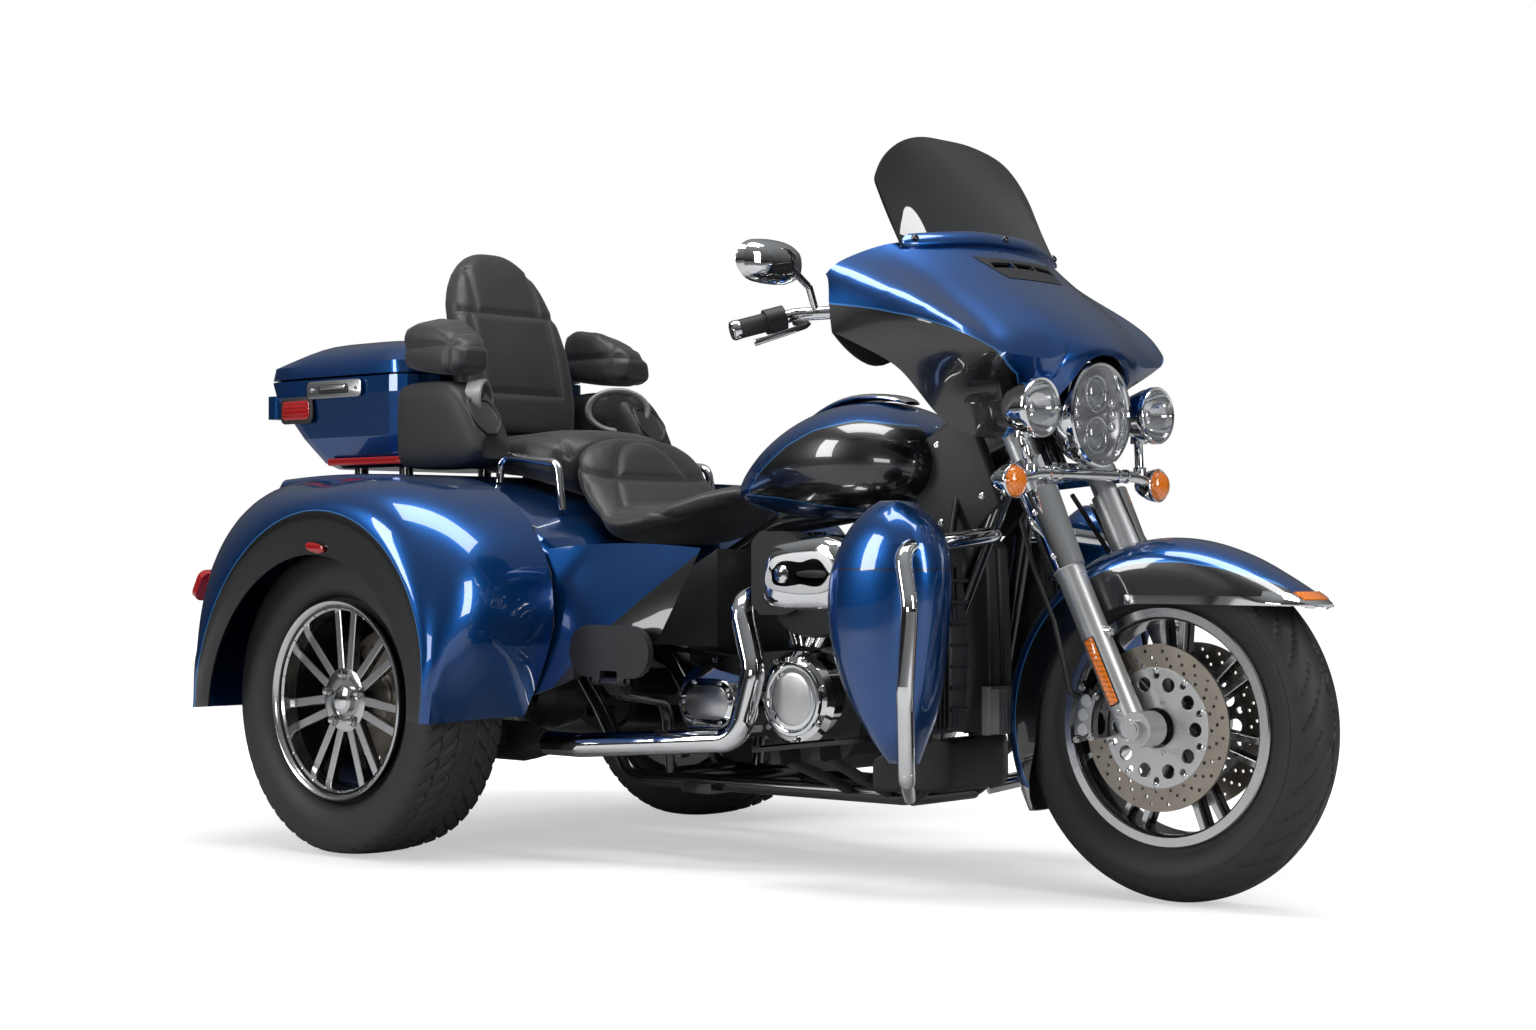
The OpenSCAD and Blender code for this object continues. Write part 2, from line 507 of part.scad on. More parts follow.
// Arms that carry the passenger's footboards on their pins, welded to the rails
module board_arms() color("#1b1c1e") both_sides() difference() {
    union() {
        bent_tube([[-132, 132, rail_z + 8], [-130, 150, 322], [board_x - 6, 372, 352]], 12, 50);
        hull() {
            ahead(board_x - 22, 374, 360) cylinder(h = 44, r = 12, $fn = 24);
            ahead(board_x - 22, board_pivot[0], board_pivot[1]) cylinder(h = 44, r = 8, $fn = 24);
        }
        ahead(board_x - 48, board_pivot[0], board_pivot[1]) cylinder(h = 96, r = 5);
    }
    along(down_tube[2], [-240, 140, rail_z], frame_r + fit);
}
module rear_axle() color("#2a2b2d") union() {
    across(rear_axle_x, -arch_y - 3, rear_axle_z) cylinder(h = 2 * (arch_y + 3), r = housing_r);
    across(rear_axle_x, -rear_track_half - spoke_face, rear_axle_z)
        cylinder(h = 2 * (rear_track_half + spoke_face), r = rear_bore);
    across(rear_axle_x, -80, rear_axle_z) rotate_extrude() polygon([[0, 0], [60, 0], [86, 30], [92, 80],
        [86, 130], [60, 160], [0, 160]]);
    both_sides() {
        across(rear_axle_x, arch_y + 2, rear_axle_z) rotate([0, 0, 200]) linear_extrude(9)
            translate([10, -28]) square([80, 56]);
        difference() {
            across(rear_axle_x, arch_y + 4, rear_axle_z) rotate([0, 0, 200]) linear_extrude(80)
                polygon(concat(arc(0, 0, rear_disc_r + 12, -24, 24, 6), arc(0, 0, 74, 24, -24, 4)));
            across(rear_axle_x, rear_track_half - disc_plane - 6, rear_axle_z) cylinder(h = disc_t + 12,
                r = rear_disc_r + 5);
        }
    }
}
belt_y = 168;
module drive_belt() color("#1d1d1d") across(0, belt_y, 0) {
    // Toothed belt from the gearbox pulley to the final drive pulley
    linear_extrude(28) difference() {
        belt_outline(8);
        belt_outline(0);
    }
    translate([rear_axle_x, -rear_axle_z, 3]) difference() {
        cylinder(h = 22, r = 104);
        translate([0, 0, -1]) cylinder(h = 30, r = 34 + fit);
        for (i = [0:5]) rotate(i * 60) translate([68, 0, -1]) cylinder(h = 30, r = 16);
    }
    translate([0, -330, 3]) cylinder(h = 22, r = 46);
}
module belt_outline(t) {
    r1 = 46 + t;
    r2 = 104.3 + t;
    d = norm([rear_axle_x, rear_axle_z - 330]);
    lean = asin((r2 - r1) / d);
    dir = atan2(-(rear_axle_z - 330), rear_axle_x);
    polygon(concat([for (a = [dir + 90 + lean: 10: dir + 270 - lean]) [rear_axle_x + r2 * cos(a - 0),
        -rear_axle_z + r2 * sin(a)]],
        [for (a = [dir - 90 - lean: 10: dir + 90 + lean]) [r1 * cos(a), -330 + r1 * sin(a)]]));
}

// Engine
case_z = 330;
v_angle = 22.5;
module on_cylinder(s) translate([engine_x, 0, case_z]) rotate([0, s * v_angle, 0]) children();
module engine_cases() color("#2b2c2f") union() {
    side_plate(concat(arc(engine_x, case_z, 135, -150, 60, 10),
        arc(engine_x - 190, case_z, 95, 90, 240, 8)), -118, 118);
    for (s = [-1, 1]) on_cylinder(s) translate([0, 0, 100]) cylinder(h = 44, r = 54);
}
module cylinders() color("#2a2b2d") for (s = [-1, 1]) on_cylinder(s) rotate_extrude()
    polygon(concat([[0, 144.3]], [for (i = [0:10]) let (z = 146 + i * 12.6, r = i > 6 ? 84 : 78)
        each [[62, z], [62, z + 4], [r, z + 5], [r, z + 10], [62, z + 11]]], [[62, 292], [0, 292]]));
cam_y = 150;
module engine_covers() color("#c4c7c9") {
    across(engine_x + 14, -cam_y - 42, case_z + 14) difference() {
        rotate_extrude() polygon([[0, 0], [60, 0], [84, 8], [94, 20], [96, 73.7], [0, 73.7]]);
        translate([0, 0, -1]) rotate_extrude() polygon([[44, 0], [52, 0], [52, 4], [44, 4]]);
    }
    side_plate(concat(arc(engine_x - 150, case_z - 4, 62, 60, -90, 6),
        arc(engine_x - 236, case_z, 74, 270, 60, 8)), -176, -118.3);
    // Rocker covers
    for (s = [-1, 1]) on_cylinder(s) {
        translate([0, 0, 292.3]) linear_extrude(30) polygon(rrect(172, 176, 40));
        translate([0, 0, 322.3]) linear_extrude(22, scale = 0.86) polygon(rrect(160, 160, 44));
    }
    // Push-rod tubes
    for (s = [-1, 1], k = [-1, 1]) along([engine_x + s * 18 + k * 12, -132, case_z + 116],
        [engine_x + s * 86 + k * 22, -106, case_z + 268], 9);
    side_plate(concat(arc(engine_x + 40, case_z + 6, 92, 100, -90, 10),
        arc(engine_x - 236, case_z, 104, 270, 90, 10)),
        118.3, 165);
}
cleaner_y = 205;
module air_cleaner() color("#bfc2c5") union() {
    across(engine_x + 12, -cleaner_y - 22, 592) linear_extrude(50)
        polygon(concat(arc(0, 0, 82, -90, 90, 12), [[-52, 82], [-74, 60], [-74, -60], [-52, -82]]));
    across(engine_x + 12, -cleaner_y - 34, 592) cylinder(h = 13, r = 50);
    across(engine_x, -cleaner_y + 28, 601) linear_extrude(150) polygon(rrect(29, 24, 6));
}
module exhaust_pipes() color("#b4b6b8") for (s = [-1, 1]) {
    // Rear cylinder to the right, front cylinder to the left under the cases
    bent_tube(s < 0 ? [[engine_x - 130, -96, 560], [engine_x - 112, -206, 530],
        [engine_x - 60, -222, 400], [engine_x - 90, -236, 262],
            [-40, -262, 248], [-230, -300, 235], [-330, -300, 235]]
        : [[engine_x + 150, 96, 560], [engine_x + 170, 196, 520], [engine_x + 150, 205, 380],
            [engine_x + 60, 215, 235],
            [-40, 262, 235], [-230, 300, 235], pipe_end], 25, 55);
}
pipe_end = [-330, 300, 235];
module mufflers() color("#1c1d1e") both_sides() translate(pipe_end - [fit, 0, 0]) rotate([0, -90, 0])
    rotate_extrude()
    polygon([[0, 0], [26, 0], [muffler_r - 6, 40], [muffler_r, 70], [muffler_r, 720], [muffler_r - 8, 760],
        [muffler_r - 12, 790], [muffler_r - 18, 790], [muffler_r - 18, 740], [0, 740]]);

// Tank, seats and side parts: rows of x, half width, low z, high z and squareness
tank_rows = [[30, 84, 738, 752, 2], [44, 118, 724, 792, 2.4], [110, 150, 708, 858, 2.5],
    [190, 174, 700, 906, 2.4],
    [270, 184, 698, 932, 2.3], [350, 182, 700, 934, 2.3], [420, 166, 712, 914, 2.3],
        [480, 132, 738, 876, 2.3],
    [506, 84, 772, 838, 2.2], [512, 40, 790, 820, 2]];
module fuel_tank() color("#1f4f86") difference() {
    loft(smooth(body_rings(tank_rows, 24), 2));
    // Tunnel over the frame's backbone
    hull() {
        translate([560, 0, 690]) rotate([0, -90, 0]) cylinder(h = 560, r = 44, $fn = 32);
        translate([560, 0, 770]) rotate([0, -90, 0]) cylinder(h = 560, r = 30, $fn = 32);
    }
}
// Console on the tank: x, half width, height over the tank and squareness
console_rows = [[120, 26, 6, 2], [132, 42, 12, 2.5], [220, 50, 16, 2.6], [300, 52, 16, 2.6],
    [380, 46, 14, 2.5], [404, 24, 8, 2]];
function tank_top(x) = lookup(x, smooth([for (r = tank_rows) [r[0], r[3]]], 2)) + 4;
module tank_console() color("#c2c5c8")
    loft(body_rings([for (r = console_rows) [r[0], r[1], tank_top(r[0]), tank_top(r[0]) + r[2], r[3]]],
        16));
function deck_z(x) = lookup(x - rear_axle_x, [for (i = [len(body_rows) - 1:-1:0]) [body_rows[i][0],
    body_rows[i][3]]]);
rider_rows = [[-3, 36, 738, 762, 2], [-20, 78, 722, 774, 2.3], [-70, 130, 700, 766, 2.4],
    [-140, 178, 668, 742, 2.5],
    [-210, 200, 650, 730, 2.6], [-256, 204, 650, 734, 2.6], [-280, 203, 684, 752, 2.6],
        [-312, 202, 700, 794, 2.6],
    [-340, 196, 716, 850, 2.5], [-366, 182, 734, 882, 2.5], [-392, 150, 750, 878, 2.4],
        [-400, 120, 770, 862, 2.2]];
module rider_seat() color("#1a1a1b") loft(smooth(body_rings(rider_rows, 20), 2));
// Passenger's seat: x, half width, high z and squareness; it rests on the rear body's deck
pillion_rows = [[-402, 120, 868, 2.2], [-408, 152, 886, 2.5], [-440, 186, 900, 2.7],
    [-473, 194, 903, 2.7], [-520, 198, 904, 2.8],
    [-600, 192, 898, 2.8], [-690, 186, 896, 2.7], [-712, 176, 890, 2.5]];
module passenger_seat() color("#1a1a1b")
    loft(body_rings([for (r = pillion_rows) [r[0], r[1], deck_z(r[0]) + (r[0] < -560 ? 3.5 : 1), r[2],
        r[3]]], 20));
module battery_box() color("#1b1c1d") side_plate([[-230, 440], [14, 440], [14, 639.6], [-190, 537.4],
    [-201, 529.6],
    [-230, 509.4]], -150, 150);
rail_foot_x = -556;
module grab_rails() color("#cfd2d4") both_sides() bent_tube([[rail_foot_x, 232, deck_z(rail_foot_x) + 2],
    [rail_foot_x + 6, 232, 843], [-372, 232, 822], [-352, 236, deck_z(-352) + 6]], 9, 26);
board_mid_x = 432;
module rider_footboards() color("#2a2b2c") both_sides() {
    translate([board_mid_x, 330, 268]) rotate([0, -7, 0]) union() {
        linear_extrude(12) polygon(concat(arc(92, 0, 50, -90, 90, 8), arc(-92, 0, 50, 90, 270, 8)));
        for (x = [-92, 8]) translate([x - 12, -50, -26]) cube([24, 60, 27]);
    }
    for (x = [-92, 8]) bent_tube([[board_mid_x + x, 122, rail_z + 9], [board_mid_x + x, 200, 200],
        [board_mid_x + x, 304, 248 + x * 0.12]], 11, 30);
}
module regulator() color("#bdbfc1") union() {
    block(610, 632, -52, 52, 284, 376, 6);
    for (i = [0:8]) translate([631, -50 + i * 11.6, 288]) cube([22, 6, 84]);
}
chin_rows = [[470, 205, 180, 240], [488, 196, 176, 256], [520, 160, 173, 272], [548, 114, 172, 277],
    [560, 96, 178, 272], [566, 80, 190, 258]];
function chin_ring(r, x, inset) = [for (q = rrect(2 * (r[1] - inset), r[3] - r[2] + 6 * inset, 12)) [x,
    q[0], q[1] + (r[2] + r[3]) / 2]];
module chin_cover() color("#1c1c1e") difference() {
    loft([for (r = chin_rows) chin_ring(r, r[0], 0)]);
    // Open behind, above and below: it wraps the front of the down tubes
    loft([for (i = [0:3]) chin_ring(chin_rows[i], chin_rows[i][0] - (i == 0 ? 2 : 0), 6)]);
    both_sides() {
        bent_tube(concat([[560, 91, 390]], [down_tube[2], [300, 108, rail_z]]), frame_r + 1, 70);
        along(guard_path[5], guard_path[6], guard_r + 1);
    }
}
// Lower fairings: z, x of the rear edge, x of the front edge, inner y and outer y
shield_rows = [[246, 600, 646, 270, 332], [290, 588, 668, 258, 376], [330, 562, 690, 252, 392],
    [380, 528, 708, 250, 402], [480, 494, 728, 250, 412],
    [580, 492, 738, 252, 412], [650, 520, 726, 258, 404], [700, 556, 690, 272, 380],
        [728, 596, 648, 300, 350]];
guard_path = [[628, 60, 664], [695, 116, 666], [699, 404, 640], [736, 426, 540], [728, 430, 380],
    [660, 340, 222], [495, 124, 166]];
module lower_fairings() color("#1f4f86") both_sides() difference() {
    loft(smooth([for (r = shield_rows) [for (q = oval((r[2] - r[1]) / 2, (r[4] - r[3]) / 2, 2.6, 20))
        [q[0] + (r[1] + r[2]) / 2, q[1] + (r[3] + r[4]) / 2, r[0]]]], 2));
    bent_tube(guard_path, guard_r + fit, 50);
}
// Radiators behind the lower fairings, with upright fins
module radiators() color("#1b1c1e") both_sides() union() {
    block(558, 630, 152, 247, 296, 616, 12);
    for (i = [0:6]) translate([629, 158 + i * 13, 306]) cube([9, 5, 300]);
    along([541, 113, 306], [572, 160, 306], 7);
    along([582, 108, 500], [590, 160, 500], 7);
}
module engine_guard() color("#d3d6d8") both_sides() difference() {
    bent_tube(guard_path, guard_r, 50);
    // Saddle on the down tube
    along(down_tube[0], down_tube[1], frame_r + fit);
}

// Rear body
body_rows = [[404, 330, 470, 618], [380, 380, body_floor, 664], [300, 396, body_floor, 716],
    [180, 398, body_floor, 764],
    [40, 398, body_floor, 796], [-140, 398, body_floor, 808], [-330, 398, body_floor, 808],
        [-470, 392, body_floor, 800],
    [-492, 384, body_floor + 6, 786]];
function body_ring(r) = [for (q = rrect(2 * min(r[1], arch_y - 3 - fit), r[3] - r[2], 26)) [rx(r[0]),
    q[0], q[1] + (r[2] + r[3]) / 2]];
boot_x0 = -510;
boot_x1 = -150;
boot_half = 300;
boot_z0 = body_floor + 25;
boot_z1 = 770;
door_x = rx(-500);
door_t = 14;
door_z0 = boot_z0 - 9;
door_z1 = boot_z1 + 10;
hinge_r = 7;
door_hinge = [door_x - door_t - 5, body_floor + 2];
module rear_body() color("#1f4f86") {
    difference() {
        loft([for (r = body_rows) body_ring(r)]);
        // Boot, open to the rear
        translate([rx(boot_x0), -boot_half, boot_z0]) cube([boot_x1 - boot_x0, 2 * boot_half,
            boot_z1 - boot_z0]);
        // Room over the frame and battery in front of the boot
        loft([for (r = [[412, 300], [380, 330], [300, 376], [180, 380], [40, 380], [-130, 380]])
            [for (q = rrect(2 * r[1], 420, 26)) [rx(r[0]), q[0], q[1] - 210 + cavity_top(r[0])]]]);
    }
    // Knuckles that carry the boot's door
    for (y = [-200, 200]) translate([0, y, 0]) hinge_knuckle(-30, 30, door_x + 28);
    across(door_hinge[0], -240, door_hinge[1]) cylinder(h = 480, r = 3);
}
function cavity_top(x) = lookup(x, [for (i = [len(body_rows) - 1:-1:0]) [body_rows[i][0],
    body_rows[i][3] - 12]]);
module hinge_knuckle(y0, y1, to_x) {
    across(door_hinge[0], y0, door_hinge[1]) cylinder(h = y1 - y0, r = hinge_r);
    translate([door_hinge[0], y0, door_hinge[1] - 4]) cube([to_x - door_hinge[0], y1 - y0, 8]);
}
// Rear fender: y, how far the skin lies outside the tyre at its ends, how much more it rises to
// its top and how soon, its squareness, and its lean to the front. The first two columns are the flange.
fender_cols = [[fender_lip_y - 7, 6, -26, 1, 0, 12], [fender_lip_y - 4, 44, -18, 1, 0, 22],
    [fender_lip_y, 52, 20, 1, 0, 22],
    [fender_lip_y - 9, 62, 30, 1.5, 0.2, 16], [655, 56, 56, 2.5, 0.55, 8], [600, 44, 82, 3.5, 0.9, 2],
        [530, 34, 96, 4, 1, 0],
    [460, 30, 102, 4, 1, 0], [arch_y + 1, 30, 102, 4, 1, 0]];
fender_crown = 5;
fender_inner = 8;
fender_from = -4;
fender_to = 184;
function squarer(a, k) = 1 + k * 0.16 * pow(abs(sin(2 * a)), 1.4);
function fender_rise(a, k) = 1 - pow(1 - max(0, sin(a)), k);
function fender_point(a, c) = let (r = (rear_tyre_r + c[1] + c[2] * fender_rise(a, c[3])
    + c[5] * (sin(2 * a) + 0.35 * cos(a)))
    * squarer(a, c[4]))
    [rx(r * cos(a)), c[0], rear_axle_z + r * sin(a)];
module rear_fenders() color("#1f4f86") both_sides() sheet([for (i = [0:20])
    let (a = fender_from + (fender_to - fender_from) * i / 20)
    [for (c = fender_cols) fender_point(a, c)]], panel_t);
module arch_liners() color("#19191a") both_sides() side_plate(concat(
    [for (i = [0:16]) let (a = fender_from + (fender_to - fender_from) * i / 16,
        p = fender_point(a, fender_cols[fender_inner])) [p[0], p[2]]],
    [for (i = [16:-1:0]) let (a = i * 180 / 16) [rx(70 * cos(a)), rear_axle_z + 50 + 70 * sin(a)]]),
        arch_y - 3, arch_y);
module tail_lamps() color("#a01818") both_sides() translate(fender_point(150, fender_cols[fender_crown])
    - [panel_t + 12, 18, -3])
    rotate([0, -60, 0]) translate([-20, 0, 0]) linear_extrude(16) polygon(rrect(70, 84, 18));
plate_w = 146;
plate_h = 70;
module trunk_door() color("#1f4f86") difference() {
    union() {
        translate([door_x, 0, (door_z0 + door_z1) / 2]) rotate([0, -90, 0]) linear_extrude(door_t)
            polygon(rrect(door_z1 - door_z0, 2 * boot_half + 30, 30));
        for (s = [-1, 1], y = [162, 232]) translate([door_hinge[0], s * (y + 3) - 3, 0]) {
            across(0, 0, door_hinge[1]) cylinder(h = 6, r = hinge_r);
            translate([0, 0, door_hinge[1]]) cube([5 + door_t / 2, 6, door_z0 - door_hinge[1] + 6]);
        }
    }
    across(door_hinge[0], -300, door_hinge[1]) cylinder(h = 600, r = 3 + fit);
    for (y = [-1, 1], z = [-1, 1]) ahead(door_x - door_t - 2, y * plate_w / 2, 600 + z * plate_h / 2)
        cylinder(h = door_t + 4, r = 3.3);
}
panel_y = arch_y - 8;
module side_panels() color("#1f4f86") both_sides() sheet([[[41, 226, 640], [-60, 262, 650],
    [-160, 330, 650], [-240, 380, 640]],
    [[24, 262, 560], [-60, 320, 540], [-160, 376, 520], [-246, panel_y - 2, 510]],
    [[-16, 292, 457], [-80, 340, 420], [-187, 386, 365], [-292, panel_y, 336]]], panel_t);

// Top box with its lid, pads and backrest; its front is cut back behind the backrest
box_rear = -1332;
box_front = -806;
box_floor = 826;
notch_half = 188;
notch_depth = 84;
lid_gap = 5;
// Outline at a height, grown by a margin, its front moved back and its rear moved forward
function box_ring(z, grow, front = 0, rear = 0) = let (w = box_front - box_rear + 2 * grow - front - rear)
    [for (q = rrect(w, 2 * (box_half_w + grow), 60)) [q[0] + (box_front + box_rear - front + rear) / 2,
        q[1], z]];
module box_notch(grow) translate([box_front - notch_depth - grow, -notch_half - grow, box_floor - 30])
    cube([notch_depth + 80, 2 * (notch_half + grow), 400]);
module box_shell(outer, inner) difference() {
    loft(outer);
    box_notch(0);
    difference() {
        loft(inner);
        box_notch(wall);
    }
}
box_hinge = [box_half_w + 9, lid_z];
module box_knuckle(x, len, sign) {
    translate([x, box_hinge[0], box_hinge[1]]) rotate([0, 90, 0]) cylinder(h = len, r = hinge_r);
    translate([x, box_half_w - 2, sign < 0 ? box_hinge[1] - 14 : box_hinge[1]]) cube([len, 11, 14]);
}
module top_box() color("#1f4f86") {
    box_shell([box_ring(box_floor, -60, 0, 112), box_ring(box_floor + 14, -34, 0, 122),
        box_ring(box_floor + 70, -10, 0, 98),
            box_ring(lid_z - 40, 0, 0, 16), box_ring(lid_z - lid_gap / 2, 0)],
        [box_ring(box_floor + wall + 6, -50, 0, 120), box_ring(box_floor + 70, -10 - wall, 0, 100),
            box_ring(lid_z - 40, -wall, 0, 18), box_ring(lid_z + 10, -wall)]);
    // Latch, corner lamps and the lamps along the lower edge
    side_block(-1144, -962, -box_half_w - 7, -box_half_w + 2, lid_z - 36, lid_z - 14, 5);
    both_sides() {
        block(-1328, -1282, 196, box_half_w - 8, lid_z - 88, lid_z - 34, 12);
        side_block(-1110, -850, box_half_w - 44, box_half_w - 24, box_floor + 8, box_floor + 20, 4);
    }
    for (x = [-1240, -940]) box_knuckle(x, 30, -1);
    translate([-1246, box_hinge[0], box_hinge[1]]) rotate([0, 90, 0]) cylinder(h = 342, r = 3);
    // Legs that stand the box on the rear body
    for (x = [-1080, -920], s = [-1, 1]) translate([x, s * 190, body_rows[5][3] + fit])
        cylinder(h = box_floor - body_rows[5][3] + 3, r = 16);
}
module box_lid() color("#1f4f86") difference() {
    union() {
        box_shell([box_ring(lid_z + lid_gap / 2, 0), box_ring(lid_z + 30, 0, 8, 10),
            box_ring(lid_z + 62, -22, 20, 90),
                box_ring(lid_z + 80, -60, 24, 92), box_ring(lid_z + 86, -110, 24, 72)],
            [box_ring(lid_z - 10, -wall), box_ring(lid_z + 28, -wall, 8, 12),
                box_ring(lid_z + 58, -22 - wall, 20, 92),
                box_ring(lid_z + 76, -60 - wall, 24, 96)]);
        for (x = [-1209.7, -970.3]) box_knuckle(x, 30, 1);
    }
    translate([-1300, box_hinge[0], box_hinge[1]]) rotate([0, 90, 0]) cylinder(h = 500, r = 3 + fit);
}
module backrest() color("#1a1a1b") loft(smooth([for (r = [[900, 150, -716, -776], [980, 158, -728, -790],
    [1100, 156, -756, -820],
    [1200, 146, -790, -852], [1270, 112, -814, -872], [1312, 66, -832, -878], [1324, 30, -842, -870]])
    [for (q = rrect(r[2] - r[3], 2 * r[1], 20)) [q[0] + (r[2] + r[3]) / 2, q[1], r[0]]]], 2));
// Speaker pods beside the passenger: x and size, with a ring round each speaker
pod_y = 256;
pod_z = 912;
module speaker_pods() color("#202124") both_sides() {
    loft([for (r = [[-805.6, 0.94], [-760, 1], [-620, 1], [-588, 0.92], [-577, 0.78]])
        [for (q = oval(57 * r[1], 98 * r[1], 3, 20)) [r[0], pod_y + q[0], pod_z + q[1]]]]);
    ahead(-579, pod_y, pod_z + 18) rotate_extrude() polygon([[34, 0], [41, 0], [42, 4], [40, 7], [36, 7],
        [34, 4]]);
}
// Padded corners on the lid's front: x, low z, high z, inner y and outer y
pad_rows = [[-805.6, 1042, 1130, 198, 292], [-770, 1034, 1140, 191, 298], [-700, 1024, 1132, 190, 300],
    [-642, 1021, 1108, 196, 299], [-608, 1034, 1084, 216, 288]];
module lid_pads() color("#1a1a1b") both_sides() loft([for (r = pad_rows)
    [for (q = oval((r[4] - r[3]) / 2, (r[2] - r[1]) / 2, 3, 16)) [r[0], (r[3] + r[4]) / 2 + q[0],
        (r[1] + r[2]) / 2 + q[1]]]]);
board_x = -42;
board_pivot = [399, 378];
board_t = 14;
module passenger_board() difference() {
    union() {
        across(board_x, board_pivot[0] - board_t / 2, board_pivot[1] + 58) difference() {
            linear_extrude(board_t) polygon(concat(arc(60, 0, 52, -90, 90, 8),
                arc(-60, 0, 52, 90, 270, 8)));
            translate([-24, 38, -1]) cube([48, 20, board_t + 2]);
        }
        for (s = [-1, 1]) ahead(board_x - 10 + s * 34, board_pivot[0], board_pivot[1]) cylinder(h = 20,
            r = 9);
    }
    ahead(board_x - 60, board_pivot[0], board_pivot[1]) cylinder(h = 120, r = 5 + fit);
}
module passenger_board_left() color("#2a2b2c") passenger_board();
module passenger_board_right() color("#2a2b2c") mirror([0, 1, 0]) passenger_board();

frame();
board_arms();
engine_cases();
cylinders();
engine_covers();
air_cleaner();
exhaust_pipes();
mufflers();
fuel_tank();
tank_console();
lower_fairings();
radiators();
engine_guard();
rider_footboards();
regulator();
chin_cover();
battery_box();
side_panels();
rear_body();
rear_fenders();
arch_liners();
tail_lamps();
rear_axle();
drive_belt();
top_box();
backrest();
speaker_pods();
rider_seat();
passenger_seat();
grab_rails();
box_lid();
lid_pads();
trunk_door();
passenger_board_right();
passenger_board_left();
fork_yokes();
fork_legs();
front_axle();
fairing_outer();
fairing_inner();
windshield();
headlamp();
lamp_bar();
front_fender();
handlebar();
hand_controls();
mirrors();
brake_hoses();
front_calipers();
front_tyre();
front_rim();
front_discs();
rear_tyre_right();
rear_rim_right();
rear_disc_right();
rear_tyre_left();
rear_rim_left();
rear_disc_left();
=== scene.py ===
import json
from math import atan2, cos, hypot, pi, radians, sin, tan

import bmesh
import bpy
from mathutils import Matrix, Vector

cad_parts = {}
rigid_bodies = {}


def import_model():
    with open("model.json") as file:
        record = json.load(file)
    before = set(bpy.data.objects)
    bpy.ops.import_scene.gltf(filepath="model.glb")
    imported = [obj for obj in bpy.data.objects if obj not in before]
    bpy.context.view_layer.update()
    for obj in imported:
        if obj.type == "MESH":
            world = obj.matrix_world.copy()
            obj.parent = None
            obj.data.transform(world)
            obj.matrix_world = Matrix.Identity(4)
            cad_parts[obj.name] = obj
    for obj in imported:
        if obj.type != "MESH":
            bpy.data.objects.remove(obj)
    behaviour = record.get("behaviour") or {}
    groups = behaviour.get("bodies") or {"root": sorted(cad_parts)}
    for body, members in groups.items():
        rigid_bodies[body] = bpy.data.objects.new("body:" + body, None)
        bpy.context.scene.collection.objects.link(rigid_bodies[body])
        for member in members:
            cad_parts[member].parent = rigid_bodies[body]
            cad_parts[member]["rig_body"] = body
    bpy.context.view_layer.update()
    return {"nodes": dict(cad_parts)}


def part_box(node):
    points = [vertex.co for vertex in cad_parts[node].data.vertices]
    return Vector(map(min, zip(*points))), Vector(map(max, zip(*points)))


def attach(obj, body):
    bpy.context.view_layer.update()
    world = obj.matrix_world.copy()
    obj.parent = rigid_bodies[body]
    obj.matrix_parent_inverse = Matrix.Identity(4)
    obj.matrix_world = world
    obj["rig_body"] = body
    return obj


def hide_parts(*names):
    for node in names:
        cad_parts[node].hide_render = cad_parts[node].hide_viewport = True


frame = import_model()
NODES = frame["nodes"]
MM = 0.001
SIDES = (("right", -1), ("left", 1))

# Driving sizes, in metres, read from the frame where a node gives them
front_low, front_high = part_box("front_tyre")
FRONT_R = (front_high.z - front_low.z) / 2
FRONT_AXLE = Vector(((front_low.x + front_high.x) / 2, 0, FRONT_R))
FRONT_W = front_high.y - front_low.y
rear_low, rear_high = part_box("rear_tyre_left")
REAR_R = (rear_high.z - rear_low.z) / 2
REAR_AXLE = Vector(((rear_low.x + rear_high.x) / 2, (rear_low.y + rear_high.y) / 2, REAR_R))
REAR_W = rear_high.y - rear_low.y
RAKE = radians(26)
TRAIL = 0.110


def axis_x(z):
    """X of the steering axis at a height."""
    return FRONT_AXLE.x + TRAIL - z * tan(RAKE)


HEAD_X = axis_x(0.890)

# Camera
AZIMUTH, ELEVATION = radians(41.8434), radians(-0.8242)
CAMERA_AT = Vector((3.45684, -3.83911, 0.63621))
FOCAL_PX, IMAGE_W, SENSOR = 2469.3, 1536, 36.0


def make_camera():
    data = bpy.data.cameras.new("camera")
    data.sensor_fit = "HORIZONTAL"
    data.sensor_width = SENSOR
    data.lens = FOCAL_PX / IMAGE_W * SENSOR
    data.clip_end = 100
    camera = bpy.data.objects.new("camera", data)
    bpy.context.scene.collection.objects.link(camera)
    back = Vector((sin(AZIMUTH) * cos(ELEVATION), -cos(AZIMUTH) * cos(ELEVATION), sin(ELEVATION)))
    camera.matrix_world = Matrix.Translation(CAMERA_AT) @ back.to_track_quat("Z", "Y").to_matrix().to_4x4()
    bpy.context.scene.camera = camera


make_camera()


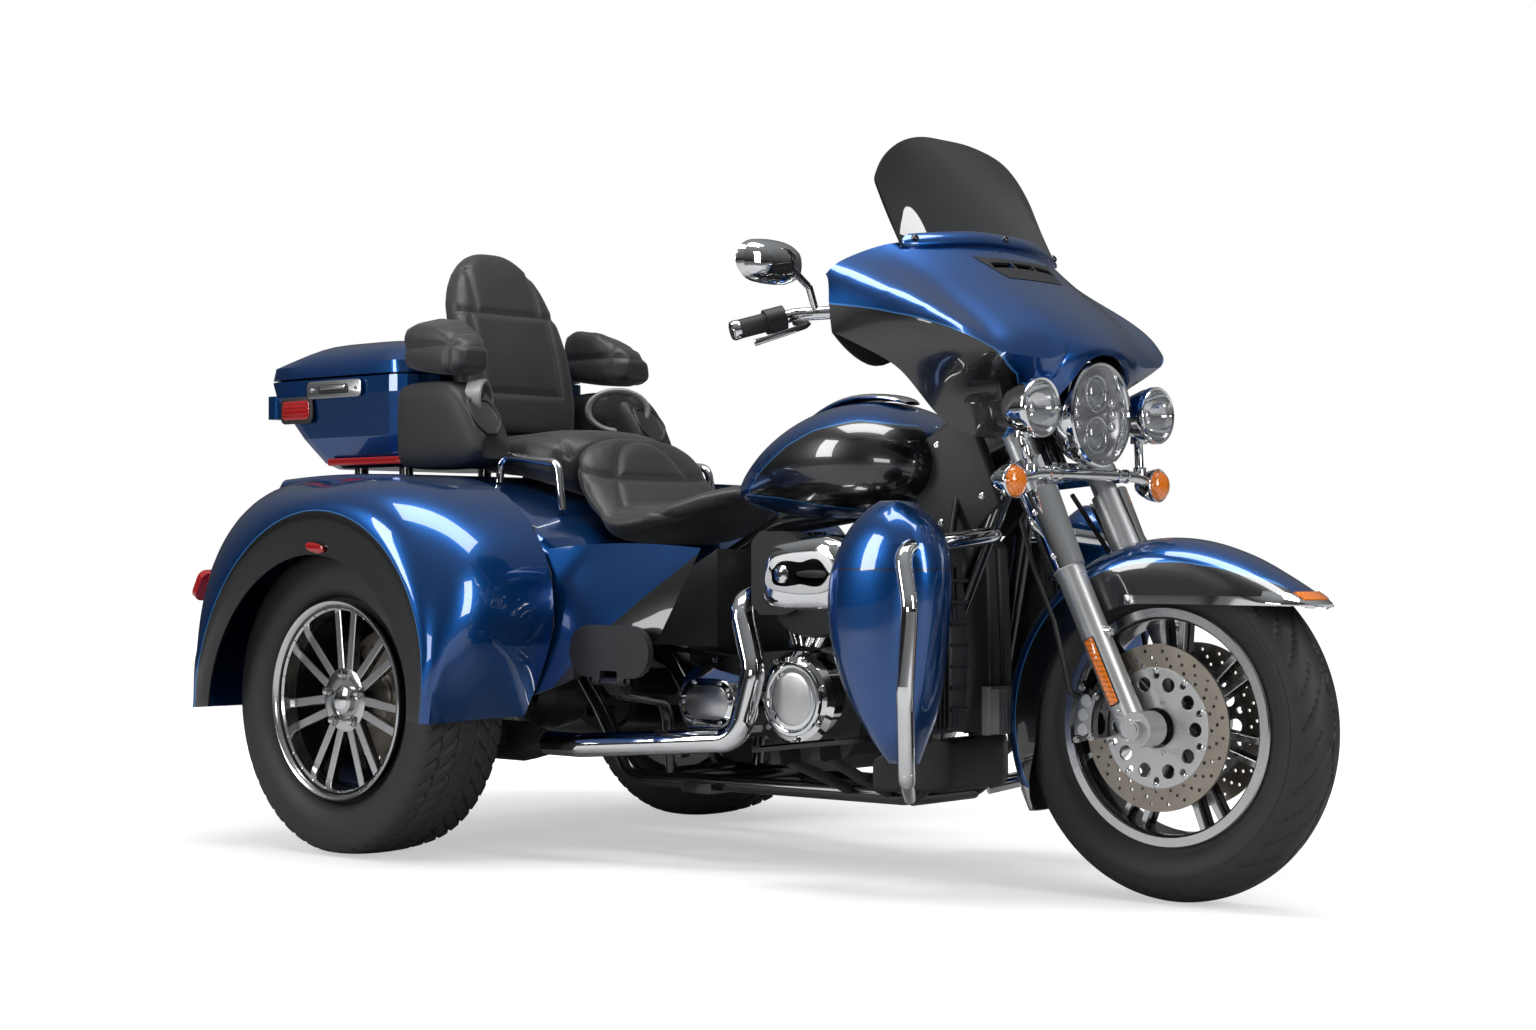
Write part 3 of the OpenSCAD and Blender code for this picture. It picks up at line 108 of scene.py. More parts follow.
# Shader maths
class Val:
    """A shader value: a socket of a node tree, with the arithmetic that masks need."""

    def __init__(self, mat, socket):
        self.mat = mat
        self.socket = socket

    def op(self, kind, *others, clamp=False):
        node = self.mat.tree.nodes.new("ShaderNodeMath")
        node.operation = kind
        node.use_clamp = clamp
        for slot, value in enumerate((self,) + others):
            self.mat.put(node.inputs[slot], value)
        return Val(self.mat, node.outputs[0])

    def __add__(self, o): return self.op("ADD", o)
    def __sub__(self, o): return self.op("SUBTRACT", o)
    def __mul__(self, o): return self.op("MULTIPLY", o)
    def __truediv__(self, o): return self.op("DIVIDE", o)
    def __neg__(self): return self.op("MULTIPLY", -1)
    def __radd__(self, o): return self + o
    def __rmul__(self, o): return self * o
    def __rsub__(self, o): return -self + o
    def abs(self): return self.op("ABSOLUTE")
    def sin(self): return self.op("SINE")
    def power(self, k): return self.op("POWER", k)
    def min(self, o): return self.op("MINIMUM", o)
    def max(self, o): return self.op("MAXIMUM", o)
    def above(self, edge, soft=0.0006):
        """0 below an edge and 1 above it, over a short soft step."""
        return ((self - edge) * (1 / soft) + 0.5).op("ADD", 0, clamp=True)

    def below(self, edge, soft=0.0006): return 1 - self.above(edge, soft)


class Mat:
    """A material built round one Principled shader."""

    def __init__(self, name, color, rough, metal=0.0, **fixed):
        self.data = bpy.data.materials.new(name)
        self.data.use_nodes = True
        self.tree = self.data.node_tree
        self.shader = self.tree.nodes["Principled BSDF"]
        self.set("Base Color", (*color, 1) if len(color) == 3 else color)
        self.set("Roughness", rough)
        self.set("Metallic", metal)
        for key, value in fixed.items():
            self.set(key.replace("_", " "), value)
        where = self.node("ShaderNodeTexCoord").outputs["Object"]
        parts = self.node("ShaderNodeSeparateXYZ", Vector=where)
        self.where = where
        self.x, self.y, self.z = (Val(self, parts.outputs[i]) for i in range(3))

    def put(self, socket, value):
        if isinstance(value, Val):
            self.tree.links.new(value.socket, socket)
        elif isinstance(value, bpy.types.NodeSocket):
            self.tree.links.new(value, socket)
        else:
            socket.default_value = value

    def set(self, key, value):
        self.put(self.shader.inputs[key], value)
        return self

    def node(self, kind, attrs=None, **inputs):
        node = self.tree.nodes.new(kind)
        for key, value in (attrs or {}).items():
            setattr(node, key, value)
        for key, value in inputs.items():
            self.put(node.inputs[key.replace("_", " ")], value)
        return node

    def noise(self, scale, detail=2.0):
        node = self.node("ShaderNodeTexNoise", Vector=self.where, Scale=scale, Detail=detail, Roughness=0.5)
        return Val(self, node.outputs["Fac"])

    def cells(self, scale):
        node = self.node("ShaderNodeTexVoronoi", Vector=self.where, Scale=scale)
        return Val(self, node.outputs["Distance"])

    def mix(self, factor, a, b):
        """Colour a where the factor is 0 and b where it is 1."""
        node = self.node("ShaderNodeMix", {"data_type": "RGBA"})
        self.put(node.inputs[0], factor)
        self.put(node.inputs[6], (*a, 1) if isinstance(a, tuple) and len(a) == 3 else a)
        self.put(node.inputs[7], (*b, 1) if isinstance(b, tuple) and len(b) == 3 else b)
        return node.outputs[2]

    def bump(self, height, distance, strength=1.0):
        node = self.node("ShaderNodeBump", Height=height, Distance=distance, Strength=strength)
        self.set("Normal", node.outputs["Normal"])
        return self

    def ramp(self, value, points):
        """Straight lines through points of (value, result)."""
        total = points[0][1]
        for (a, va), (b, vb) in zip(points, points[1:]):
            step = (value - a).op("MAXIMUM", 0).op("MINIMUM", b - a)
            total = step * ((vb - va) / (b - a)) + total
        return total


BLUE = (0.0012, 0.046, 0.190)
LINE_BLUE = (0.035, 0.17, 0.45)
BLACK = (0.0015, 0.0015, 0.0017)


def paint(name, black=None, line=None):
    """Metallic blue lacquer. black is a mask of gloss black, line a mask of the pale pinstripe."""
    m = Mat(name, BLUE, 0.30, 0.85, Coat_Weight=1.0, Coat_Roughness=0.03, Coat_IOR=1.6)
    flake = m.noise(900, 1)
    color = m.mix(flake, (0.0010, 0.040, 0.170), (0.0024, 0.078, 0.295))
    metal = 0.85
    if black:
        mask = black(m)
        color = m.mix(mask, color, BLACK)
        m.set("Metallic", mask * -metal + metal)
    if line:
        stripe = line(m)
        color = m.mix(stripe, color, LINE_BLUE)
    m.set("Base Color", color)
    m.bump(m.noise(60, 1), 0.00002, 0.15)
    return m.data


def plain(name, color, rough, metal=0.0, grain=200, depth=0.0001, vary=0.25, **fixed):
    """A finish whose colour and roughness wander a little, with a fine grain."""
    m = Mat(name, color, rough, metal, **fixed)
    wander = m.noise(14, 3)
    m.set("Base Color", m.mix(wander, tuple(c * (1 - vary) for c in color),
                              tuple(min(1, c * (1 + vary)) for c in color)))
    m.set("Roughness", wander * (rough * 0.35) + rough * 0.82)
    m.bump(m.noise(grain, 2), depth, 0.5)
    return m.data


def leather_material():
    """Grained hide. seam_a, seam_b and seam_c hold the distance to each seam: a line and two rows of stitches."""
    m = Mat("seat leather", (0.012, 0.012, 0.0125), 0.47, 0, Sheen_Weight=0.15, Sheen_Roughness=0.5)
    grain = m.cells(420) * 0.7 + m.noise(700, 2) * 0.5
    wander = m.noise(9, 3)
    hide = m.mix(wander, (0.008, 0.008, 0.0085), (0.019, 0.019, 0.0195))
    line, stitch = None, None
    for letter in "abc":
        far = Val(m, m.node("ShaderNodeAttribute", {"attribute_name": "seam_" + letter}).outputs["Fac"]).abs()
        join, row = far.below(0.0010, 0.0006), (far - 0.0055).abs().below(0.0006, 0.0004)
        line, stitch = (join, row) if line is None else (line.max(join), stitch.max(row))
    dashes = ((m.x + m.y + m.z) * 900).sin().above(-0.4, 0.3)
    stitch = stitch * dashes
    m.set("Base Color", m.mix(stitch, m.mix(line, hide, (0.002, 0.002, 0.002)), (0.045, 0.045, 0.046)))
    m.set("Roughness", wander * 0.14 + 0.40)
    return m.bump(grain * (1 - stitch) + stitch * 2.4 - line * 2.0, 0.00025, 0.55).data


def brushed(name, color, rough, centre):
    """Metal turned on a lathe about an axis through centre: fine rings."""
    m = Mat(name, color, rough, 1.0)
    a, b = (m.x - centre[0]), (m.z - centre[2])
    radius = (a * a + b * b).power(0.5)
    rings = (radius * 5200).sin() * 0.5 + 0.5
    wander = m.noise(30, 3)
    m.set("Base Color", m.mix(wander, tuple(c * 0.85 for c in color), color))
    m.set("Roughness", rings * (rough * 0.35) + rough * 0.8)
    return m.bump(rings, 0.00003, 0.35).data


def lens(name, color, rough=0.08):
    m = Mat(name, color, rough, 0, Coat_Weight=1.0, Coat_Roughness=0.03, Specular_IOR_Level=0.7)
    facet = ((m.z * 700).sin() * (m.y * 700).sin()) * 0.5 + 0.5
    m.set("Base Color", m.mix(facet, tuple(c * 0.55 for c in color), color))
    # Painted glow: a faint emission, stronger on the lighter facets, makes the lens shine by itself, on unlit lamps
    # and reflectors alike.
    m.set("Emission Color", m.mix(facet, tuple(c * 0.1 for c in color), color))
    m.set("Emission Strength", 0.12)
    return m.bump(facet, 0.0006, 0.5).data


def glass(name, tint, amount=0.85, rough=0.02):
    """Clear or smoked glass: part see-through, part gloss."""
    m = Mat(name, tint, rough, 0, Coat_Weight=1.0, Coat_Roughness=0.01)
    edge = m.node("ShaderNodeLayerWeight", Blend=0.35).outputs["Facing"]
    solid = Val(m, edge) * 0.35 + (1 - amount)
    m.set("Alpha", solid.op("MINIMUM", 1.0))
    m.set("Base Color", m.mix(m.noise(5, 1), tint, tuple(c * 1.2 for c in tint)))
    return m.data


def chrome_material():
    m = Mat("chrome", (0.78, 0.79, 0.80), 0.05, 1.0)
    wander = m.noise(18, 2)
    m.set("Roughness", wander * 0.05 + 0.025)
    m.set("Base Color", m.mix(wander, (0.70, 0.71, 0.72), (0.84, 0.845, 0.85)))
    return m.bump(m.noise(6, 1), 0.0002, 0.05).data


def tyre_material(centre, name):
    """Rubber: ribs and rings on the sidewall, with colour and roughness that wander at random."""
    m = Mat(name, (0.012, 0.012, 0.012), 0.62)
    a, b = m.x - centre.x, m.z - centre.z
    radius = (a * a + b * b).power(0.5)
    ribs = (radius * 2600).sin() * 0.5 + 0.5
    dust = m.noise(7, 3)
    m.set("Base Color", m.mix(dust, (0.009, 0.009, 0.009), (0.021, 0.021, 0.021)))
    m.set("Roughness", dust * 0.2 + 0.5)
    return m.bump(ribs * 0.25 + m.noise(500, 2), 0.0002, 0.5).data


CHROME = chrome_material()
BLUE_PAINT = paint("blue paint")
GLOSS_BLACK = plain("gloss black", (0.005, 0.005, 0.0055), 0.09, 0, 60, 0.00001, Coat_Weight=1.0)
SATIN_BLACK = plain("satin black", (0.010, 0.010, 0.011), 0.38, 0, 240, 0.00012)
PLASTIC = plain("black plastic", (0.013, 0.013, 0.014), 0.55, 0, 520, 0.00022)
FRAME_BLACK = plain("frame black", (0.006, 0.006, 0.0065), 0.22, 0, 90, 0.00004, Coat_Weight=0.5)
ENGINE_BLACK = plain("engine black", (0.011, 0.011, 0.0115), 0.5, 0.2, 600, 0.00030)
CAST = plain("cast aluminium", (0.34, 0.34, 0.35), 0.38, 1.0, 500, 0.00018)
SATIN = plain("satin aluminium", (0.60, 0.605, 0.61), 0.30, 1.0, 700, 0.00006, 0.10)
BRIGHT = plain("bright steel", (0.62, 0.62, 0.63), 0.20, 1.0, 300, 0.00005, 0.10)
RUBBER = plain("board rubber", (0.012, 0.012, 0.012), 0.7, 0, 400, 0.0003)
HOSE = plain("hose rubber", (0.010, 0.010, 0.010), 0.5, 0, 900, 0.0002)
DISC = plain("disc steel", (0.33, 0.295, 0.25), 0.34, 1.0, 800, 0.00008)
# The red lens here and the amber lens below carry a faint painted glow from their emission.
RED = lens("red lens", (0.42, 0.012, 0.014))
COVER_FACE = plain("cover face", (0.62, 0.625, 0.63), 0.40, 0.60, 700, 0.00004, 0.08)
FORK = plain("fork satin", (0.50, 0.505, 0.51), 0.34, 0.75, 700, 0.00004, 0.08)
AMBER = lens("amber lens", (0.90, 0.22, 0.012))
LEATHER = leather_material()
SMOKED = glass("smoked screen", (0.004, 0.0042, 0.0045), 0.16)
MESH_GREY = plain("mesh grey", (0.21, 0.212, 0.215), 0.42, 0.0, 300, 0.0001)
MIRROR = plain("mirror glass", (0.80, 0.81, 0.82), 0.02, 1.0, 20, 0.00001, 0.03)
DARK = plain("deep black", (0.003, 0.003, 0.003), 0.7, 0, 200, 0.0001)


def ribbed_rubber():
    """Board rubber with raised bars across it, the grooves between them painted darker as painted shade."""
    m = Mat("ribbed rubber", (0.013, 0.013, 0.013), 0.65)
    bars = ((m.x + m.z * 0.2) * 420).sin().above(-0.2, 0.6)
    # Painted shade: the grooves between the bars get a darker colour than the bar tops.
    m.set("Base Color", m.mix(bars, (0.005, 0.005, 0.005), (0.017, 0.017, 0.017)))
    return m.bump(bars + m.noise(500, 2) * 0.1, 0.0016, 0.9).data


RUBBER_RIBBED = ribbed_rubber()


# Mesh helpers
def body_of(node):
    return NODES[node]["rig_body"]


def new_piece(name, bm, mats, body, replaces=(), level=0, sharp=40):
    """Finishes a bmesh as a piece that rides on a body; edges over the sharp angle stay hard."""
    bmesh.ops.recalc_face_normals(bm, faces=bm.faces)
    mesh = bpy.data.meshes.new(name)
    for face in bm.faces:
        face.smooth = True
    if sharp is not None:
        limit = radians(sharp)
        for edge in bm.edges:
            if len(edge.link_faces) == 2 and edge.calc_face_angle() > limit:
                edge.smooth = False
    bm.to_mesh(mesh)
    bm.free()
    for mat in (mats if isinstance(mats, (list, tuple)) else [mats]):
        mesh.materials.append(mat)
    piece = bpy.data.objects.new(name, mesh)
    bpy.context.scene.collection.objects.link(piece)
    if level:
        modifier = piece.modifiers.new("surface", "SUBSURF")
        modifier.levels = level
        modifier.render_levels = level
    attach(piece, body)
    if replaces:
        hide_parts(*replaces)
    return piece


def dress(node, mats, level=2, crease=38, join=28, pick=None, warp=None):
    """A smooth copy of a CAD node, with its hard edges kept, that stands for the node."""
    bm = bmesh.new()
    bm.from_mesh(NODES[node].data)
    bmesh.ops.remove_doubles(bm, verts=bm.verts, dist=0.00004)
    bmesh.ops.join_triangles(bm, faces=bm.faces, cmp_seam=False, cmp_sharp=False, cmp_uvs=False,
                             cmp_vcols=False, cmp_materials=False, angle_face_threshold=radians(join),
                             angle_shape_threshold=radians(130))
    bmesh.ops.recalc_face_normals(bm, faces=bm.faces)
    layer = bm.edges.layers.float.new("crease_edge")
    for edge in bm.edges:
        if len(edge.link_faces) != 2 or edge.calc_face_angle() > radians(crease):
            edge[layer] = 1.0
    if warp:
        for v in bm.verts:
            v.co = warp(v.co)
    for face in bm.faces:
        face.material_index = pick(face.calc_center_median(), face.normal) if pick else 0
    return new_piece(node + ".skin", bm, mats, body_of(node), (node,), level, crease)


def repaint(node, mat):
    """A new material on a CAD node whose shape is right."""
    obj = NODES[node]
    for index in range(max(1, len(obj.material_slots))):
        if obj.material_slots:
            obj.material_slots[index].material = mat
        else:
            obj.data.materials.append(mat)


def add_part(bm, part):
    """Moves a finished part into a mesh and frees it."""
    holder = bpy.data.meshes.new("part")
    part.to_mesh(holder)
    part.free()
    bm.from_mesh(holder)
    bpy.data.meshes.remove(holder)


def ring_loft(bm, rings, mat=0):
    """Bridges a list of closed rings, one to the next, and caps both ends."""
    part = bmesh.new()
    loops = []
    for ring in rings:
        verts = [part.verts.new(p) for p in ring]
        pairs = list(zip(verts, verts[1:])) + [(verts[-1], verts[0])]
        loops.append((verts, [part.edges.new(pair) for pair in pairs]))
    for (_, a), (_, b) in zip(loops, loops[1:]):
        bmesh.ops.bridge_loops(part, edges=a + b)
    part.faces.new(loops[0][0])
    part.faces.new(loops[-1][0])
    bmesh.ops.recalc_face_normals(part, faces=part.faces)
    for face in part.faces:
        face.material_index = mat
    add_part(bm, part)


def smooth_path(points, steps=6):
    """Catmull-Rom curve through points."""
    p = [Vector(q) for q in points]
    out = []
    for i in range(len(p) - 1):
        a, b, c, d = p[max(i - 1, 0)], p[i], p[i + 1], p[min(i + 2, len(p) - 1)]
        for s in range(steps):
            t = s / steps
            out.append(0.5 * (2 * b + t * (c - a) + t * t * (2 * a - 5 * b + 4 * c - d)
                              + t ** 3 * (3 * b - a - 3 * c + d)))
    out.append(p[-1])
    return out


def frames(path):
    """Side and up vectors along a path, without twist."""
    tangents = []
    for i in range(len(path)):
        tangents.append((path[min(i + 1, len(path) - 1)] - path[max(i - 1, 0)]).normalized())
    up = Vector((0, 0, 1)) if abs(tangents[0].z) < 0.9 else Vector((1, 0, 0))
    side = tangents[0].cross(up).normalized()
    out = []
    for t in tangents:
        side = (side - t * side.dot(t)).normalized()
        out.append((side, t.cross(side)))
    return out


def tube(bm, points, radius, sides=16, steps=6, mat=0, squash=1.0):
    """Sweeps a round section along a smooth path; radius is one size or one per path point."""
    path = smooth_path(points, steps)
    if not hasattr(radius, "__len__"):
        radius = [radius] * len(path)
    elif len(radius) != len(path):
        radius = [v.x for v in smooth_path([Vector((r, 0, 0)) for r in radius], steps)]
    rings = []
    for centre, (s, u), r in zip(path, frames(path), radius):
        rings.append([centre + (s * cos(a) + u * sin(a) * squash) * r
                      for a in (2 * pi * k / sides for k in range(sides))])
    ring_loft(bm, rings, mat)


def revolve(bm, profile, origin, axis, steps=64, mat=0, closed=False):
    """Spins (radius, height) points about an axis; a list of materials has one for each segment."""
    axis, origin = Vector(axis).normalized(), Vector(origin)
    helper = Vector((0, 0, 1)) if abs(axis.z) < 0.9 else Vector((1, 0, 0))
    out = axis.cross(helper).normalized()
    part = bmesh.new()
    verts = [part.verts.new(origin + axis * h + out * r) for r, h in profile]
    pairs = list(zip(verts, verts[1:])) + ([(verts[-1], verts[0])] if closed else [])
    edges = [part.edges.new(pair) for pair in pairs]
    bmesh.ops.spin(part, geom=verts + edges, cent=origin, axis=axis, angle=2 * pi, steps=steps, use_merge=True)
    bmesh.ops.remove_doubles(part, verts=part.verts, dist=1e-6)
    bmesh.ops.recalc_face_normals(part, faces=part.faces)
    if isinstance(mat, (list, tuple)):
        ends = profile[1:] + profile[:1]
        middles = [Vector(((a[0] + b[0]) / 2, (a[1] + b[1]) / 2)) for a, b in zip(profile, ends)][:len(pairs)]
        for face in part.faces:
            away = face.calc_center_median() - origin
            height = away.dot(axis)
            at = Vector(((away - axis * height).length, height))
            face.material_index = mat[min(range(len(middles)), key=lambda i: (middles[i] - at).length)]
    else:
        for face in part.faces:
            face.material_index = mat
    add_part(bm, part)


def slab(bm, outline, place, depth, mat=0, bevel=0.0, segments=2):
    """A plate extruded from a flat outline, its rims bevelled; place maps (u, v, w) to the frame."""
    part = bmesh.new()
    face = part.faces.new([part.verts.new(place(u, v, 0)) for u, v in outline])
    raised = bmesh.ops.extrude_face_region(part, geom=[face])["geom"]
    moved = [g for g in raised if isinstance(g, bmesh.types.BMVert)]
    bmesh.ops.translate(part, verts=moved, vec=Vector(place(0, 0, depth)) - Vector(place(0, 0, 0)))
    if bevel:
        top = set(moved)
        rims = [e for e in part.edges if (e.verts[0] in top) == (e.verts[1] in top)]
        bmesh.ops.bevel(part, geom=rims, offset=bevel, segments=segments, affect="EDGES", profile=0.5, material=-1)
    bmesh.ops.recalc_face_normals(part, faces=part.faces)
    for f in part.faces:
        f.material_index = mat
    add_part(bm, part)


def rod(bm, a, b, radius, mat=0, sides=16):
    """A straight round bar from one point to another."""
    a, b = Vector(a), Vector(b)
    edge = radius * 0.15
    length = (b - a).length
    revolve(bm, [(0, 0), (radius - edge, 0), (radius, edge), (radius, length - edge), (radius - edge, length),
                 (0, length)],
            a, b - a, sides, mat)


def patch(skin, name, cuts, offset, thickness, mats, keep=None, split=38):
    """Part of a finished skin, trimmed by planes (point, normal: its side goes), lifted off and thickened."""
    bpy.context.view_layer.update()
    fine = bpy.data.meshes.new_from_object(skin.evaluated_get(bpy.context.evaluated_depsgraph_get()))
    bm = bmesh.new()
    bm.from_mesh(fine)
    bpy.data.meshes.remove(fine)
    if keep:
        gone = [f for f in bm.faces if not keep(f.calc_center_median(), f.normal)]
        bmesh.ops.delete(bm, geom=gone, context="FACES")
    for at, normal in cuts:
        bmesh.ops.bisect_plane(bm, geom=bm.verts[:] + bm.edges[:] + bm.faces[:], plane_co=at, plane_no=normal,
                               clear_outer=True)
    bm.normal_update()
    lifted = [(v, v.co + v.normal * offset) for v in bm.verts]
    for v, co in lifted:
        v.co = co
    bmesh.ops.solidify(bm, geom=bm.faces[:], thickness=thickness)
    for face in bm.faces:
        face.material_index = 0
    return new_piece(name, bm, mats, skin["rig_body"], sharp=split)


def arc(cx, cy, r, a0, a1, n):
    return [(cx + r * cos(radians(a0 + (a1 - a0) * i / n)), cy + r * sin(radians(a0 + (a1 - a0) * i / n)))
            for i in range(n + 1)]


def rounded(w, h, r, n=5):
    return (arc(w / 2 - r, h / 2 - r, r, 0, 90, n) + arc(r - w / 2, h / 2 - r, r, 90, 180, n)
            + arc(r - w / 2, r - h / 2, r, 180, 270, n) + arc(w / 2 - r, r - h / 2, r, 270, 360, n))


def bolt(bm, at, axis, r=0.005, h=0.004, mat=0, sides=6):
    """A hexagon or socket screw on a washer."""
    revolve(bm, [(0, -0.002), (r * 1.25, -0.002), (r * 1.25, 0.0006), (r * 1.02, 0.0008), (r * 1.02, h * 0.85),
                 (r * 0.9, h), (r * 0.5, h), (r * 0.45, h * 0.4), (0, h * 0.4)], at, axis, 18 if sides > 6 else 6,
                 mat)


def mirrored(build):
    """Builds a right-hand form and its mirror image in one mesh."""
    bm = bmesh.new()
    build(bm)
    geometry = bmesh.ops.duplicate(bm, geom=bm.verts[:] + bm.edges[:] + bm.faces[:])["geom"]
    copies = [g for g in geometry if isinstance(g, bmesh.types.BMVert)]
    for v in copies:
        v.co.y = -v.co.y
    bmesh.ops.reverse_faces(bm, faces=[g for g in geometry if isinstance(g, bmesh.types.BMFace)])
    return bm


def v3(x, y, z):
    """A point given in millimetres."""
    return Vector((x * MM, y * MM, z * MM))


# Tyres
TREAD_STEPS = 480


def tread_tyre(name, node, centre, width, radius, rim_r, crown, groove, body):
    """A tyre whose tread blocks are real: the crown's points sink where the groove pattern says."""
    bm = bmesh.new()
    half = width / 2
    shoulder = []
    rows = 44
    for i in range(rows + 1):
        t = -1 + 2 * i / rows
        y = t * (half - 0.004)
        r = radius - crown * (abs(t) ** 2.4)
        shoulder.append((r, y))
    bead = rim_r - 0.012
    side = [(bead, half * 0.62), (rim_r + 0.006, half * 0.66), (rim_r + 0.012, half * 0.80),
            (rim_r + 0.030, half * 0.94),
            ((rim_r + radius) / 2, half), (radius - crown - 0.022, half * 0.995),
            (radius - crown - 0.008, half - 0.002)]
    profile = [(r, -y) for r, y in side] + shoulder[1:-1] + [(r, y) for r, y in reversed(side)]
    revolve(bm, profile, centre, (0, 1, 0), TREAD_STEPS, 0, True)
    floor = radius - crown - 0.007
    for v in bm.verts:
        away = v.co - centre
        r = hypot(away.x, away.z)
        if r > floor and abs(away.y) < half - 0.0035:
            k = round(atan2(away.z, away.x) / (2 * pi) * TREAD_STEPS) % TREAD_STEPS
            scale = (r - groove(away.y / half, k)) / r
            v.co = centre + Vector((away.x * scale, away.y, away.z * scale))
    new_piece(name, bm, tyre_material(centre, name + " rubber"), body, (node,), sharp=50)


def road_groove(t, k):
    """Rear tread: four straight channels and slanted cuts between them."""
    for channel in (-0.62, -0.22, 0.22, 0.62):
        if abs(t - channel) < 0.035:
            return 0.0065
    if abs(t) > 0.26:
        slant = (k + int(abs(t) * 26)) % 10
        return 0.0048 if slant < 2 and abs(t) < 0.93 else 0.0
    return 0.003 if (k + int(t * 12)) % 12 < 1 else 0.0


def front_groove(t, k):
    """Front tread: a wavering middle channel and swept cuts to each shoulder."""
    wave = 0.06 * sin(2 * pi * k / 24)
    if abs(t - wave) < 0.03:
        return 0.005
    sweep = (k + int(abs(t) * 34) + (15 if t > 0 else 0)) % 30
    if 0.14 < abs(t) < 0.88 and sweep < 3:
        return 0.005
    if 0.45 < abs(t) < 0.95 and (sweep + 15) % 30 < 2:
        return 0.004
    return 0.0


tread_tyre("front_tyre.tread", "front_tyre", FRONT_AXLE, FRONT_W, FRONT_R, 0.218, 0.034, front_groove, "front_wheel")
for side, sign in SIDES:
    centre = Vector((REAR_AXLE.x, sign * REAR_AXLE.y, REAR_AXLE.z))
    tread_tyre(f"rear_tyre_{side}.tread", f"rear_tyre_{side}", centre, REAR_W, REAR_R, 0.209, 0.009, road_groove,
               f"rear_wheel_{side}")

# Finishes of the CAD nodes whose shape stays
FIRST_COAT = {
    CHROME: ("engine_covers", "exhaust_pipes", "grab_rails", "fork_yokes", "handlebar"),
    FRAME_BLACK: ("frame", "board_arms"),
    SATIN_BLACK: ("radiators", "mufflers", "rear_axle"),
    ENGINE_BLACK: ("engine_cases", "air_cleaner"),
    PLASTIC: ("battery_box", "arch_liners", "hand_controls"),
    DISC: ("rear_disc_right", "rear_disc_left"),
    MESH_GREY: ("regulator",),
    GLOSS_BLACK: ("front_calipers",),
    RUBBER: ("drive_belt",),
    HOSE: ("brake_hoses",),
    BRIGHT: ("front_axle",),
    FORK: ("fork_legs",),
    RED: ("tail_lamps",),
    BLUE_PAINT: ("trunk_door",),
}
for finish, nodes in FIRST_COAT.items():
    for node in nodes:
        repaint(node, finish)

# Wheels
def spoke(bm, centre, angle, inner, outer, width, depth, y0, sign):
    """A tapered bar with a machined face and dark sides; inner and outer are (radius, offset)."""
    radial = Vector((cos(angle), 0, sin(angle)))
    across = Vector((-sin(angle), 0, cos(angle)))
    rings = []
    for t in (0, 0.12, 0.5, 0.85, 1.0):
        r = inner[0] + (outer[0] - inner[0]) * t
        o = inner[1] + (outer[1] - inner[1]) * t
        w = (width[0] + (width[1] - width[0]) * t) / 2
        d = depth[0] + (depth[1] - depth[0]) * t
        c = centre + radial * r + across * o
        ring = [(-w, 0), (-w + 0.0015, 0.0015), (w - 0.0015, 0.0015), (w, 0), (w * 0.7, -d), (-w * 0.7, -d)]
        rings.append([c + across * u + Vector((0, sign * (y0 + v), 0)) for u, v in ring])
    start = len(bm.faces)
    ring_loft(bm, rings, mat=1)
    bm.faces.ensure_lookup_table()
    for face in bm.faces[start:]:
        if face.normal.y * sign > 0.3:
            face.material_index = 0


PAIRS = 7  # twin spokes of each wheel


def front_wheel():
    bm = bmesh.new()
    c = FRONT_AXLE
    barrel = [(0.199, -0.0478), (0.215, -0.0478), (0.2178, -0.045), (0.2178, -0.0422), (0.2022, -0.0400),
              (0.2015, 0.0),
              (0.2022, 0.0400), (0.2178, 0.0422), (0.2178, 0.045), (0.215, 0.0478), (0.199, 0.0478), (0.1955, 0.0440),
              (0.1935, 0.030), (0.1925, 0.0), (0.1935, -0.030), (0.1955, -0.0440)]
    mats = [0, 0, 0, 1, 1, 1, 1, 0, 0, 0, 0, 0, 1, 1, 0, 0]
    revolve(bm, barrel, c, (0, 1, 0), 128, mats, closed=True)
    for k in range(PAIRS):
        for s in (-1, 1):
            angle = 2 * pi * k / PAIRS + pi / 2
            for sign in (-1, 1):
                spoke(bm, c, angle, (0.043, s * 0.009), (0.196, s * 0.022), (0.017, 0.0125), (0.016, 0.012), 0.016,
                      sign)
    hub = [(0.0125, -0.0635), (0.040, -0.0635), (0.044, -0.060), (0.046, -0.030), (0.052, -0.020), (0.052, 0.020),
           (0.046, 0.030), (0.044, 0.060), (0.040, 0.0635), (0.0125, 0.0635)]
    revolve(bm, hub, c, (0, 1, 0), 48, 1, closed=True)
    new_piece("front_wheel.casting", bm, [WHEEL_FACE_FRONT, WHEEL_BLACK], "front_wheel",
              ("front_rim",), sharp=35)


def flat_plate(name, circles, half, rim, segments, place, mat):
    """A flat plate filled between circles of (radius, x, z, steps), with its rims eased."""
    curve = bpy.data.curves.new(name, "CURVE")
    curve.dimensions = "2D"
    curve.fill_mode = "BOTH"
    for r, cx, cy, steps in circles:
        spline = curve.splines.new("POLY")
        spline.points.add(steps - 1)
        for i in range(steps):
            a = 2 * pi * i / steps
            spline.points[i].co = (cx + r * cos(a), cy + r * sin(a), 0, 1)
        spline.use_cyclic_u = True
    curve.extrude = half
    curve.bevel_depth = rim
    curve.bevel_resolution = segments
    temp = bpy.data.objects.new(name, curve)
    bpy.context.scene.collection.objects.link(temp)
    bpy.context.view_layer.update()
    mesh = bpy.data.meshes.new_from_object(temp)
    bpy.data.objects.remove(temp)
    bm = bmesh.new()
    bm.from_mesh(mesh)
    bpy.data.meshes.remove(mesh)
    for v in bm.verts:
        v.co = place(v.co)
    for face in bm.faces:
        face.material_index = mat
    return bm


